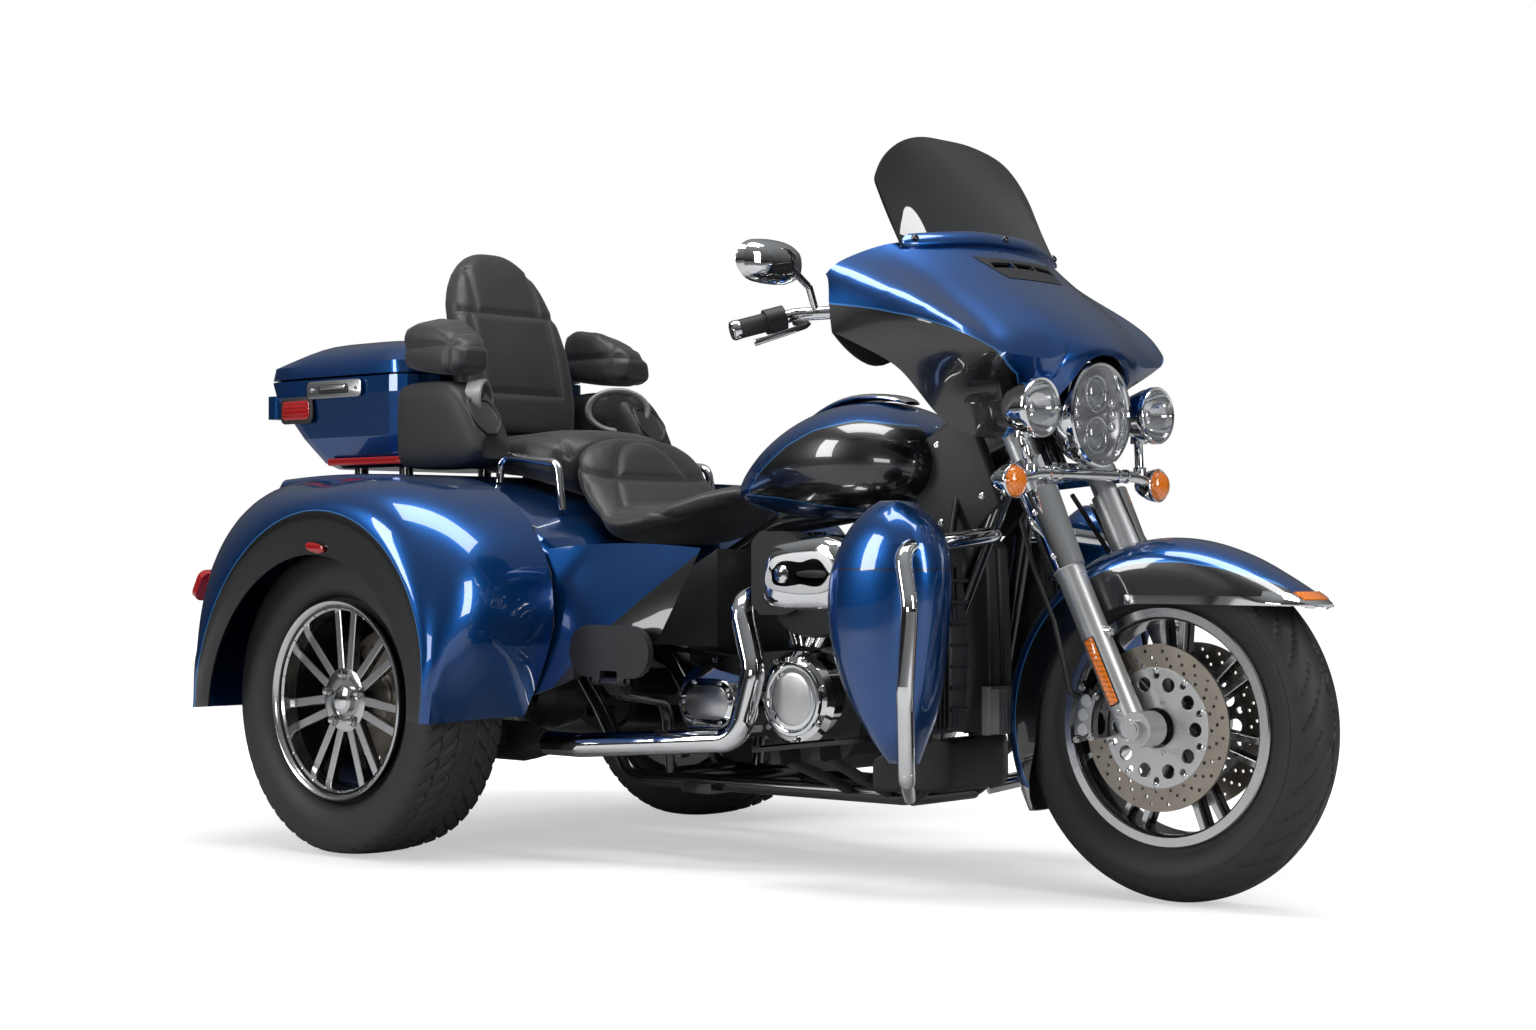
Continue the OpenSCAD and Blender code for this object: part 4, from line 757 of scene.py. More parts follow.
def rotor(name, centre, sign, radius, inner, y0, body, rows, holes, carrier, mats):
    """A drilled disc on a carrier with round windows and rivets."""
    drilled = [(radius, 0, 0, 160), (inner, 0, 0, 120)]
    for i in range(holes):
        for k, row in enumerate(rows):
            a = 2 * pi * (i + k / len(rows)) / holes
            drilled.append((0.0036, row * cos(a), row * sin(a), 12))
    bm = flat_plate(name, drilled, 0.0022, 0.0003, 1, lambda p: centre + Vector((p.x, sign * y0 + p.z, p.y)), 0)
    arms, r0, r1 = carrier
    windows = [(r1 + 0.004, 0, 0, 96), (r0 - 0.020, 0, 0, 48)]
    for i in range(arms):
        a = 2 * pi * i / arms
        windows.append(((r1 - r0) * 0.30, (r0 + r1) / 2 * cos(a), (r0 + r1) / 2 * sin(a), 28))
        b = a + pi / arms
        windows.append(((r1 - r0) * 0.15, (r1 - 0.010) * cos(b), (r1 - 0.010) * sin(b), 20))
    add_part(bm, flat_plate(name + ".carrier", windows, 0.0019, 0.0006, 4,
                            lambda p: centre + Vector((p.x, sign * (y0 + 0.0012) + p.z, p.y)), 1))
    for i in range(arms):
        a = 2 * pi * (i + 0.5) / arms
        radial = Vector((cos(a), 0, sin(a)))
        revolve(bm, [(0, 0.0052), (0.0042, 0.0052), (0.0060, 0.0040), (0.0062, 0.0), (0, 0.0)],
                centre + radial * (r1 - 0.001) + Vector((0, sign * y0, 0)), (0, sign, 0), 16, 2)
    ring = [(r0 - 0.022, -0.002), (r0 + 0.001, -0.002), (r0 + 0.003, 0.0), (r0 + 0.001, 0.002), (r0 - 0.022, 0.002)]
    revolve(bm, [(r, sign * (y0 + h)) for r, h in ring], centre, (0, 1, 0), 64, 1, True)
    for i in range(5):
        a = 2 * pi * i / 5
        bolt(bm, centre + Vector(((r0 - 0.011) * cos(a), sign * (y0 + 0.002), (r0 - 0.011) * sin(a))), (0, sign, 0),
             0.005, 0.004, 2)
    return new_piece(name, bm, mats, body, sharp=35)


def rear_wheel(side, sign):
    """Deep-lipped rear wheel: outside is away from the centre plane."""
    c = Vector((REAR_AXLE.x, sign * REAR_AXLE.y, REAR_AXLE.z))
    out = Vector((0, sign, 0))
    bm = bmesh.new()
    half = 0.088
    barrel = [(0.184, -half - 0.0068), (0.206, -half - 0.0068), (0.2088, -half - 0.004), (0.2088, -half),
              (0.1935, -half + 0.002),
              (0.193, half - 0.002), (0.2088, half), (0.2088, half + 0.004), (0.2065, half + 0.0068),
              (0.203, half + 0.0058),
              (0.1985, half + 0.0010), (0.1955, half - 0.004), (0.1885, half - 0.010), (0.186, half - 0.040),
              (0.184, half - 0.060)]
    mats = [1, 1, 1, 1, 1, 1, 0, 0, 0, 0, 0, 0, 0, 1, 1]
    revolve(bm, barrel, c, out, 144, mats, closed=True)
    face_y = half - 0.026
    for k in range(PAIRS):
        angle = 2 * pi * k / PAIRS + pi / 2
        for s in (-1, 1):
            spoke(bm, c, angle, (0.046, s * 0.0115), (0.1865, s * 0.027), (0.0195, 0.0185), (0.020, 0.016), face_y,
                  sign)
    hub = [(0.0203, -0.018), (0.0515, -0.018), (0.0515, face_y - 0.010), (0.066, face_y - 0.004),
           (0.0665, face_y + 0.0025),
           (0.063, face_y + 0.0045), (0.044, face_y + 0.0045), (0.041, face_y - 0.002), (0.030, face_y - 0.002),
           (0.0285, face_y + 0.010), (0.022, face_y + 0.014), (0.0203, face_y + 0.014)]
    revolve(bm, hub, c, out, 72, 0, closed=True)
    revolve(bm, [(0.0, face_y + 0.0155), (0.018, face_y + 0.0150), (0.0222, face_y + 0.0125),
                 (0.0222, face_y + 0.006),
                 (0.0, face_y + 0.006)], c, out, 48, 3)
    for i in range(5):
        a = 2 * pi * i / 5 + pi / 2
        at = c + Vector((0.0535 * cos(a), 0, 0.0535 * sin(a))) + out * (face_y + 0.0046)
        revolve(bm, [(0.0125, -0.006), (0.0125, 0.0004), (0.0105, 0.0004), (0.0105, -0.004)], at, out, 24, 1)
        revolve(bm, [(0.0, 0.013), (0.006, 0.0125), (0.0090, 0.009), (0.0094, 0.0), (0, 0.0)], at, out, 6, 3)
    for i in range(28):
        a = 2 * pi * i / 28
        at = c + Vector((0.1905 * cos(a), 0, 0.1905 * sin(a))) + out * (half - 0.0075)
        revolve(bm, [(0.0, 0.0022), (0.0020, 0.0017), (0.0028, 0.0), (0, 0.0)], at,
                out + Vector((-cos(a), 0, -sin(a))) * 0.8, 8, 3)
    new_piece(f"rear_wheel_{side}.casting", bm, [WHEEL_FACE_REAR, WHEEL_BLACK, DARK, CHROME], f"rear_wheel_{side}",
              (f"rear_rim_{side}",), sharp=35)


WHEEL_FACE_FRONT = brushed("front wheel face", (0.62, 0.625, 0.63), 0.22, FRONT_AXLE)
WHEEL_FACE_REAR = brushed("rear wheel face", (0.62, 0.625, 0.63), 0.20, REAR_AXLE)
WHEEL_BLACK = plain("wheel black", (0.007, 0.007, 0.0075), 0.20, 0, 90, 0.00004, Coat_Weight=0.6)
front_wheel()
for side, sign in SIDES:
    rear_wheel(side, sign)
HUB_HALF = 0.0643
for side, sign in SIDES:
    disc = rotor(f"front_disc_{side}.drilled", FRONT_AXLE, sign, 0.150, 0.106, HUB_HALF + 0.0025, "front_wheel",
                 (0.114, 0.126, 0.138), 24, (10, 0.058, 0.104), [DISC, SATIN, BRIGHT])
    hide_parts("front_discs")


# Lamps
def lamp(name, at, radius, depth, body, replaces=()):
    """A chrome shell with a bright reflector, a bulb shield and a domed glass."""
    x = Vector((1, 0, 0))
    bm = bmesh.new()
    r = radius
    revolve(bm, [(0, -depth), (r * 0.35, -depth * 0.98), (r * 0.72, -depth * 0.70), (r * 0.93, -depth * 0.30),
                 (r * 0.965, -0.012),
                 (r * 1.0, -0.008), (r * 1.0, 0.003), (r * 0.975, 0.0055), (r * 0.90, 0.0035), (r * 0.885, -0.004),
                 (r * 0.70, -depth * 0.30), (r * 0.40, -depth * 0.52), (0, -depth * 0.60)], at, x, 72, 0)
    revolve(bm, [(0, -depth * 0.18), (r * 0.16, -depth * 0.19), (r * 0.24, -depth * 0.26), (r * 0.24, -depth * 0.5)],
            at, x, 32, 1)
    new_piece(name + ".shell", bm, [CHROME, BRIGHT], body, replaces, sharp=50)
    glass_bm = bmesh.new()
    revolve(glass_bm, [(0, 0.0062), (r * 0.4, 0.0056), (r * 0.7, 0.0036), (r * 0.885, 0.0010), (r * 0.885, -0.0010),
                       (r * 0.7, 0.0012), (r * 0.4, 0.0032), (0, 0.0038)], at, x, 72, 0)
    new_piece(name + ".glass", glass_bm, LENS_GLASS, body, sharp=None)


LENS_GLASS = glass("lens glass", (0.30, 0.31, 0.32), 0.97)

# Painted bodywork
def tank_edges(m):
    top = m.ramp(m.x, [(0.083, 0.750), (0.145, 0.798), (0.225, 0.845), (0.291, 0.873), (0.380, 0.890), (0.468, 0.879),
                       (0.541, 0.853)])
    low = m.ramp(m.x, [(0.083, 0.749), (0.181, 0.741), (0.286, 0.724), (0.389, 0.712), (0.5, 0.718)])
    return top - m.z, m.z - low, m.y.abs().above(0.06)


def tank_black(m):
    over, under, side = tank_edges(m)
    return over.above(0) * under.above(0) * side


def tank_line(m):
    over, under, side = tank_edges(m)
    return over.abs().min(under.abs()).below(0.0015) * side * m.x.above(0.084)


def fairing_edge(m):
    wide = m.y.abs()
    edge = m.ramp(wide, [(0.150, 0.919), (0.190, 0.958), (0.260, 0.992), (0.330, 1.030), (0.380, 1.065),
                         (0.410, 1.094)])
    return edge - m.z, wide


def fairing_black(m):
    under, wide = fairing_edge(m)
    return under.above(0) * wide.above(0.150)


def fairing_line(m):
    under, wide = fairing_edge(m)
    upper = under.abs().below(0.0016) * wide.above(0.150)
    inner = (wide - 0.150).abs().below(0.0016) * m.z.below(0.919)
    return upper.max(inner)


def polar(m, centre):
    a, b = m.x - centre[0], m.z - centre[1]
    return (a * a + b * b).power(0.5), a, b


def front_edge(m):
    radius, a, b = polar(m, (1.017, 0.318))
    line = m.ramp(m.x, [(0.850, 0.303), (0.947, 0.298), (1.032, 0.298), (1.115, 0.309), (1.196, 0.329),
                        (1.275, 0.359)])
    return line - radius, m.y.abs().above(0.04)


def front_black(m):
    inside, side = front_edge(m)
    return inside.above(0) * side


def front_line(m):
    inside, side = front_edge(m)
    return inside.abs().below(0.0015) * side


def rear_edge(m):
    radius, a, b = polar(m, (-0.653, 0.324))
    s, c = b / radius, a / radius
    edge = s.max(0) * 0.020 + (s * c * 2 + c * 0.35) * 0.022 + 0.376
    return edge - radius - 0.004, m.y.abs().above(0.670)


def rear_black(m):
    inside, side = rear_edge(m)
    return inside.above(0) * side


def rear_line(m):
    inside, side = rear_edge(m)
    return inside.abs().below(0.0014) * side


def side_black(m):
    back = (m.z - 0.483) * 0.953 - 0.100
    ahead = (m.z - 0.454) * 0.656 - 0.015
    return (m.x - back).above(0) * (ahead - m.x).above(0)


def seam(height, width=0.0014):
    """A dark joint line at a height."""
    return lambda m: (m.z - height).abs().below(width)


TANK_PAINT = paint("tank paint", tank_black, tank_line)
FAIRING_PAINT = paint("fairing paint", fairing_black, fairing_line)
FENDER_PAINT = paint("front fender paint", front_black, front_line)
REAR_PAINT = paint("rear fender paint", rear_black, rear_line)
SIDE_PAINT = paint("side panel paint", side_black)
LOWER_PAINT = paint("lower fairing paint", seam(0.602))
BOX_PAINT = paint("top box paint", lambda m: m.z.below(0.826))

dress("mirrors", [CHROME, DARK], level=2)
dress("fuel_tank", TANK_PAINT)
dress("tank_console", CHROME)
dress("lower_fairings", [LOWER_PAINT, PLASTIC], level=1, crease=50, pick=lambda c, n: int(n.x < -0.6))
dress("engine_guard", CHROME, level=1, crease=62)
dress("chin_cover", PLASTIC, level=1)
dress("side_panels", SIDE_PAINT)
dress("rear_body", BLUE_PAINT, level=2, crease=30)
dress("rear_fenders", REAR_PAINT)


def knots(t, points):
    """Straight lines through points of (value, result), held flat beyond the ends."""
    if t <= points[0][0]:
        return points[0][1]
    for (a, va), (b, vb) in zip(points, points[1:]):
        if t <= b:
            return va + (vb - va) * (t - a) / (b - a)
    return points[-1][1]


def square_up(p, centre, half, was, now):
    """Moves a point of a rounded section toward a squarer one."""
    sign = 1 if p.y > 0 else -1
    u, w = (abs(p.y) - centre[0]) / half[0], (p.z - centre[1]) / half[1]
    size = (abs(u) ** was + abs(w) ** was) ** (1 / was)
    if size < 0.001:
        return Vector(p)
    k = size / (abs(u) ** now + abs(w) ** now) ** (1 / now)
    return Vector((p.x, sign * (centre[0] + u * k * half[0]), centre[1] + w * k * half[1]))


def pod_shape(p):
    """A squarer pod whose front face leans out toward its foot."""
    q = square_up(p, (0.256, 0.912), (0.057, 0.098), 3, 6)
    front = knots(q.z, [(0.812, -0.590), (0.850, -0.536), (0.930, -0.575), (1.010, -0.640)])
    q.x = -0.8056 + (p.x + 0.8056) / 0.2286 * (front + 0.8056)
    return q


dress("speaker_pods", PLASTIC, warp=pod_shape)
dress("box_lid", BLUE_PAINT, level=1)
FAIRING = dress("fairing_outer", [FAIRING_PAINT, PLASTIC], level=2, pick=lambda c, n: int(n.x < -0.3))
dress("fairing_inner", PLASTIC, level=1)
dress("windshield", SMOKED, level=2)
repaint("top_box", BOX_PAINT)
FENDER = dress("front_fender", [FENDER_PAINT, PLASTIC], level=2,
               pick=lambda c, n: int(n.dot(Vector((c.x - 1.017, 0, c.z - 0.318))) < -0.05))


# Air vent over the headlamp
patch(FAIRING, "vent.frame", [((0, 0, 1.190), (0, 0, 1)), ((0, 0, 1.148), (0, 0, -1)),
                              ((0, 0.119, 1.188), (0, 0.77, -0.64)), ((0, -0.119, 1.188), (0, -0.77, -0.64))],
      0.0012, 0.0024, SATIN_BLACK, lambda c,
      n: n.x > 0.25 and c.x > HEAD_X - 0.08 and abs(c.y) < 0.15)

# Painted strip over the foot of the screen
SCREEN_UP, SCREEN_OUT = Vector((-0.565, 0, 0.825)), Vector((0.825, 0, 0.565))


def screen_strip(bm):
    foot = [(0, -66, 1222), (80, -70, 1221), (160, -88, 1215), (215, -108, 1209), (246, -123, 1204.5)]
    path = smooth_path([v3(HEAD_X / MM + dx, y, z) for y, dx,
                        z in [(-y, dx, z) for y, dx, z in foot[::-1]] + foot[1:]], 6)
    rings = []
    for i, p in enumerate(path):
        edge = min(i, len(path) - 1 - i)
        scale = min(1.0, 0.35 + edge * 0.18)
        ring = [(-0.008, 0.001), (-0.007, 0.009), (-0.003, 0.0115), (0.008, 0.0120), (0.018, 0.0105), (0.022, 0.008),
                (0.022, 0.0015)]
        rings.append([p + SCREEN_UP * (u * scale) + SCREEN_OUT * v for u, v in ring])
    ring_loft(bm, rings)


strip = bmesh.new()
screen_strip(strip)
new_piece("screen_strip", strip, BLUE_PAINT, "steering", sharp=50)
screws = bmesh.new()
for y, dx, z in ((-222, -111, 1208), (0, -66, 1222), (222, -111, 1208)):
    bolt(screws, v3(HEAD_X / MM + dx, y, z) + SCREEN_UP * 0.007 + SCREEN_OUT * 0.0115, SCREEN_OUT, 0.0065, 0.0045, 0,
         16)
new_piece("screen_screws", screws, GLOSS_BLACK, "steering")

# Headlamp: a chrome rim, two stacked projectors and a light bar to each side
LAMP_AT = Vector((HEAD_X + 0.157, 0, 0.890))
AHEAD = Vector((1, 0, 0))


def headlamp():
    bm = bmesh.new()
    revolve(bm, [(0, -0.084), (0.060, -0.080), (0.087, -0.050), (0.096, -0.030), (0.099, -0.004), (0.0988, 0.003),
                 (0.0955, 0.006),
                 (0.0905, 0.0045), (0.0885, 0.0), (0.086, -0.014), (0.0, -0.024)], LAMP_AT, AHEAD, 96,
            [0, 0, 0, 0, 0, 0, 0, 0, 0, 1])
    for z in (-0.0385, 0.0385):
        at = LAMP_AT + Vector((0, 0, z))
        revolve(bm, [(0.026, -0.022), (0.034, -0.020), (0.036, -0.008), (0.0345, -0.005), (0.0315, -0.006),
                     (0.0295, -0.012)],
                at, AHEAD, 56, 0, True)
        revolve(bm, [(0.0, -0.0005), (0.010, -0.0015), (0.020, -0.0050), (0.0265, -0.0100), (0.0290, -0.0160),
                     (0, -0.0165)],
                at, AHEAD, 48, 2)
    for y in (-1, 1):
        for z in (-0.022, 0.0, 0.022):
            at = LAMP_AT + Vector((-0.010, y * (0.060 if z == 0 else 0.056), z))
            revolve(bm, [(0, 0.004), (0.0065, 0.003), (0.0095, -0.001), (0.0105, -0.007), (0, -0.009)], at, AHEAD, 24,
                    3)
    new_piece("headlamp.unit", bm, [CHROME, REFLECTOR, PROJECTOR, BRIGHT], "steering", ("headlamp",),
              sharp=45)


REFLECTOR = plain("reflector", (0.26, 0.26, 0.27), 0.28, 1.0, 8, 0.00001, 0.5)
PROJECTOR = plain("projector glass", (0.16, 0.165, 0.175), 0.06, 0.6, 30, 0.00002, Coat_Weight=1.0)
headlamp()
glass_bm = bmesh.new()
revolve(glass_bm, [(0, 0.0050), (0.040, 0.0046), (0.070, 0.0034), (0.0885, 0.0018), (0.0885, 0.0004), (0.070, 0.0018),
                   (0.040, 0.0030),
                   (0, 0.0034)], LAMP_AT, AHEAD, 96, 0)
new_piece("headlamp.glass", glass_bm, LENS_GLASS, "steering", sharp=None)

# Passing lamps, turn signals and the bar that carries them
BAR_X = axis_x(0.777) + 0.072
for side, sign in SIDES:
    lamp(f"passing_lamp_{side}", Vector((HEAD_X + 0.158, sign * 0.190, 0.895)), 0.055, 0.080, "steering",
         ("lamp_bar",))


def lamp_bar(bm):
    bar = [(BAR_X - 0.006, 0.229, 0.7635), (BAR_X, 0.168, 0.776), (BAR_X + 0.001, 0.110, 0.7775),
           (BAR_X + 0.002, 0.04, 0.778),
           (BAR_X + 0.002, 0, 0.778)]
    tube(bm, bar, 0.0105, 20, 5)
    rod(bm, (HEAD_X + 0.116, 0.190, 0.850), (BAR_X, 0.178, 0.779), 0.0085)
    revolve(bm, [(0, 0.010), (0.011, 0.010), (0.0125, 0.0085), (0.0125, -0.006), (0, -0.006)],
            (BAR_X + 0.0005, 0.1776, 0.786),
            (0, 0, 1), 28)
    revolve(bm, [(0.0, 0.0), (0.0145, 0.0), (0.016, -0.002), (0.016, -0.014), (0, -0.016)],
            (HEAD_X + 0.117, 0.190, 0.856),
            (0, 0, 1), 28)
    rod(bm, (BAR_X - 0.013, 0.112, 0.777), (BAR_X, 0.112, 0.777), 0.013)
    for y in (0.097, 0.127):
        revolve(bm, [(0.0105, -0.004), (0.0135, -0.003), (0.0135, 0.003), (0.0105, 0.004)],
                (BAR_X + 0.001, y, 0.7774), (0, 1, 0), 28)


def signal(bm):
    at = Vector((BAR_X + 0.004, 0.235, 0.762))
    revolve(bm, [(0, -0.048), (0.012, -0.046), (0.020, -0.036), (0.029, -0.018), (0.0325, -0.002), (0.033, 0.002),
                 (0.0315, 0.0045),
                 (0.0285, 0.003), (0.028, -0.006), (0, -0.010)], at, AHEAD, 56, 0)
    revolve(bm, [(0.0283, 0.001), (0.0275, 0.0075), (0.023, 0.0125), (0.016, 0.0160), (0.008, 0.0178), (0, 0.0185)],
            at, AHEAD, 56, 1)


new_piece("lamp_bar.tube", mirrored(lamp_bar), CHROME, "steering", ("lamp_bar",), sharp=45)
new_piece("turn_signals", mirrored(signal), [CHROME, AMBER], "steering", ("lamp_bar",), sharp=50)

# Fork: chrome covers round the sleeves, reflectors, bosses and caliper faces
LEG_AXIS = Vector((-sin(RAKE), 0, cos(RAKE)))
LEG_FRONT = Vector((cos(RAKE), 0, sin(RAKE)))


def leg_at(z, y=0.112):
    return Vector((axis_x(z) + 0.0245, y, z))


def fork_cover(bm):
    rings = []
    for t in (0, 0.08, 0.5, 0.92, 1.0):
        centre = leg_at(0.602 + 0.140 * t)
        r = 0.0345 + 0.0045 * t
        span = radians(96 + 10 * t)
        outer = [(-span + 2 * span * k / 14, r) for k in range(15)]
        inner = [(a, r - 0.0024) for a, _ in reversed(outer)]
        rings.append([centre + (LEG_FRONT * sin(a) + Vector((0, 1, 0)) * cos(a)) * q for a, q in outer + inner])
    ring_loft(bm, rings)
    for z in (0.625, 0.705):
        bolt(bm, leg_at(z) + Vector((0, 0.0385 if z > 0.65 else 0.0355, 0)), (0, 1, 0), 0.0045, 0.003, 0, 16)


def reflector(bm, width, length, depth, lift, mat):
    middle = leg_at(0.4195)
    slab(bm, rounded(width, length, 0.004, 3),
         lambda u, v, w: middle + LEG_FRONT * u + LEG_AXIS * v + Vector((0, 0.0262 + lift + w, 0)), depth, mat,
         0.0008)


def reflectors(bm):
    reflector(bm, 0.022, 0.132, 0.0022, 0, 0)
    reflector(bm, 0.018, 0.127, 0.0022, 0.0020, 1)


def bosses(bm):
    rod(bm, (0.930, 0.112, 0.492), (0.952, 0.112, 0.490), 0.011)
    bolt(bm, (0.952, 0.112, 0.490), (1, 0, 0), 0.006, 0.004)
    rod(bm, (FRONT_AXLE.x - 0.012, 0.1390, FRONT_R), (FRONT_AXLE.x - 0.012, 0.1425, FRONT_R), 0.019, sides=28)
    bolt(bm, leg_at(0.345) + Vector((0.0, 0.0265, 0)), (0, 1, 0), 0.006, 0.005)


def caliper_face(bm):
    hub = FRONT_AXLE
    low, high, r0, r1 = 156, 187, 0.114, 0.151
    outline = arc(0, 0, r1, low, high, 10) + arc(0, 0, r0, high, low, 8)
    slab(bm, outline, lambda u, v, w: hub + Vector((u, 0.1058 + w, v)), 0.0042, 0, 0.0012)
    for a in (160, 171.5, 183):
        at = hub + Vector((0.1325 * cos(radians(a)), 0.1098, 0.1325 * sin(radians(a))))
        revolve(bm, [(0, 0.0012), (0.0105, 0.0012), (0.0118, 0.0), (0, -0.001)], at, (0, 1, 0), 28, 1)
    for a, r in ((153, 0.118), (190, 0.118), (153, 0.152), (190, 0.150)):
        bolt(bm, hub + Vector((r * cos(radians(a)), 0.106, r * sin(radians(a)))), (0, 1, 0), 0.0055, 0.005, 2)


new_piece("fork_covers", mirrored(fork_cover), CHROME, "steering", sharp=50)
new_piece("fork_reflectors", mirrored(reflectors), [SATIN_BLACK, AMBER], "steering")
new_piece("fork_bosses", mirrored(bosses), BRIGHT, "steering")
new_piece("caliper_faces", mirrored(caliper_face), [CAST, SATIN, BRIGHT], "steering")

# Front fender trim
def outside(c, n):
    """True on the fender's outer skin."""
    return n.dot(Vector((c.x - 1.017, c.y * 2.2, c.z - 0.318)).normalized()) > 0.25


FENDER_TRIM = (
    ("strip", 0.0024, 0.0050, CHROME, "chrome",
     [((0.960, 0, 0), (-1, 0, 0)), ((0, 0, 0.5560), (0, 0, 1)), ((0, 0, 0.5000), (0, 0, -1))]),
    ("nose", 0.0022, 0.0030, CHROME, "chrome", [((1.236, 0, 0), (-1, 0, 0)), ((1.236, 0, 0.5650), (0.12, 0, 1))]),
    ("light", 0.0040, 0.0030, AMBER, "red_lens",
     [((1.262, 0, 0), (-1, 0, 0)), ((0, 0, 0.5615), (0, 0, 1)), ((0, 0, 0.5490), (0, 0, -1)),
      ((0, 0.042, 0), (0, 1, 0)), ((0, -0.042, 0), (0, -1, 0))]),
    ("tail", 0.0014, 0.0026, CHROME, "chrome", [((0.700, 0, 0.205), (0.3, 0, 1)), ((1.0, 0, 0), (1, 0, 0))]),
    ("tail_insert", 0.0030, 0.0026, MESH_GREY, "black_plastic",
     [((0.700, 0, 0.192), (0.3, 0, 1)), ((0.700, 0, 0.152), (-0.3, 0, -1)), ((1.0, 0, 0), (1, 0, 0)),
      ((0, 0.055, 0), (0, 1, 0)), ((0, -0.055, 0), (0, -1, 0))]),
)
for part, offset, thickness, finish, slot, cuts in FENDER_TRIM:
    patch(FENDER, "fender_trim." + part, cuts, offset, thickness, finish, outside)

# Engine
ENGINE_AT = Vector((0.240, 0, 0.330))
FINS = [ENGINE_BLACK, SATIN]


def finned_cylinder(sign):
    """Barrel and head with thin fins, cut back where the two cylinders meet."""
    axis = Vector((sign * sin(radians(22.5)), 0, cos(radians(22.5))))
    bm = bmesh.new()
    profile, mats = [(0, 0.112), (0.064, 0.112)], [0]
    h = 0.146
    while h < 0.282:
        head = h > 0.232
        r = 0.0835 if head else 0.078 - 0.006 * max(0, (0.165 - h) / 0.02)
        profile += [(0.064, h), (r - 0.0012, h + 0.0006), (r, h + 0.0014), (r, h + 0.0022), (r - 0.0012, h + 0.0030),
                    (0.064, h + 0.0038)]
        mats += [0, 0, 1, 1, 1, 0]
        h += 0.0098 if head else 0.0085
    profile += [(0.064, 0.291), (0, 0.291)]
    mats += [0, 0]
    revolve(bm, profile, ENGINE_AT, axis, 72, (mats + [0] * 4)[:len(profile) - 1])
    bmesh.ops.bisect_plane(bm, geom=bm.verts[:] + bm.edges[:] + bm.faces[:], plane_co=ENGINE_AT,
                           plane_no=(-sign, 0, 0), clear_outer=True)
    return bm


for label, sign in (("front", 1), ("rear", -1)):
    new_piece(f"cylinder_{label}.fins", finned_cylinder(sign), FINS, "chassis", ("cylinders",))


def engine_trim():
    bm = bmesh.new()
    cam = Vector((0.254, -0.192, 0.344))
    revolve(bm, [(0.060, 0), (0.062, 0.0022), (0.066, 0.0030), (0.072, 0.0022), (0.074, 0)], cam, (0, -1, 0), 72, 0)
    revolve(bm, [(0, 0.0016), (0.046, 0.0016), (0.052, 0.0006), (0.054, -0.001), (0, -0.001)], cam, (0, -1, 0), 72, 1)
    for i in range(7):
        a = 2 * pi * i / 7 + 0.3
        bolt(bm, cam + Vector((0.083 * cos(a), -0.0005, 0.083 * sin(a))), (0, -1, 0), 0.0050, 0.0045, 2)
    slab(bm, rounded(0.147, 0.097, 0.046, 8), lambda u, v, w: Vector((0.0135 + u, -0.1762 - w, 0.3275 + v)), 0.0045,
         0, 0.0016)
    slab(bm, rounded(0.118, 0.068, 0.033, 8), lambda u, v, w: Vector((0.0135 + u, -0.1803 - w, 0.3275 + v)), 0.0022,
         1, 0.0008)
    for u, v in ((-0.066, 0.0), (0.066, 0.0), (-0.036, 0.041), (0.036, 0.041), (-0.036, -0.041), (0.036, -0.041)):
        bolt(bm, (0.0135 + u, -0.1806, 0.3275 + v), (0, -1, 0), 0.0042, 0.0038, 2)
    for x, z in ((-20, 412), (58, 410), (-60, 300)):
        bolt(bm, v3(x, -119, z), (0, -1, 0), 0.0065, 0.006, 2)
    new_piece("engine_trim", bm, [CHROME, SATIN, BRIGHT], "chassis")


engine_trim()


# Air cleaner: a chrome pillow cover with a satin face over a black body
def closed(points, steps=5):
    """A smooth closed outline through points."""
    p = [Vector((x * MM, z * MM, 0)) for x, z in points]
    out = []
    for i in range(len(p)):
        a, b, c, d = p[i - 1], p[i], p[(i + 1) % len(p)], p[(i + 2) % len(p)]
        for s in range(steps):
            t = s / steps
            q = 0.5 * (2 * b + t * (c - a) + t * t * (2 * a - 5 * b + 4 * c - d) + t ** 3 * (3 * b - a - 3 * c + d))
            out.append((q.x, q.y))
    return out


def pillow(bm, outline, centre, rows, mat=0):
    """Rings of one outline: rows of (y, shrink in metres)."""
    cx, cz = centre
    rings = []
    for y, shrink in rows:
        ring = []
        for x, z in outline:
            away = hypot(x - cx, z - cz)
            k = max(0.02, 1 - shrink / away)
            ring.append(Vector((cx + (x - cx) * k, y, cz + (z - cz) * k)))
        rings.append(ring)
    ring_loft(bm, rings, mat=mat)


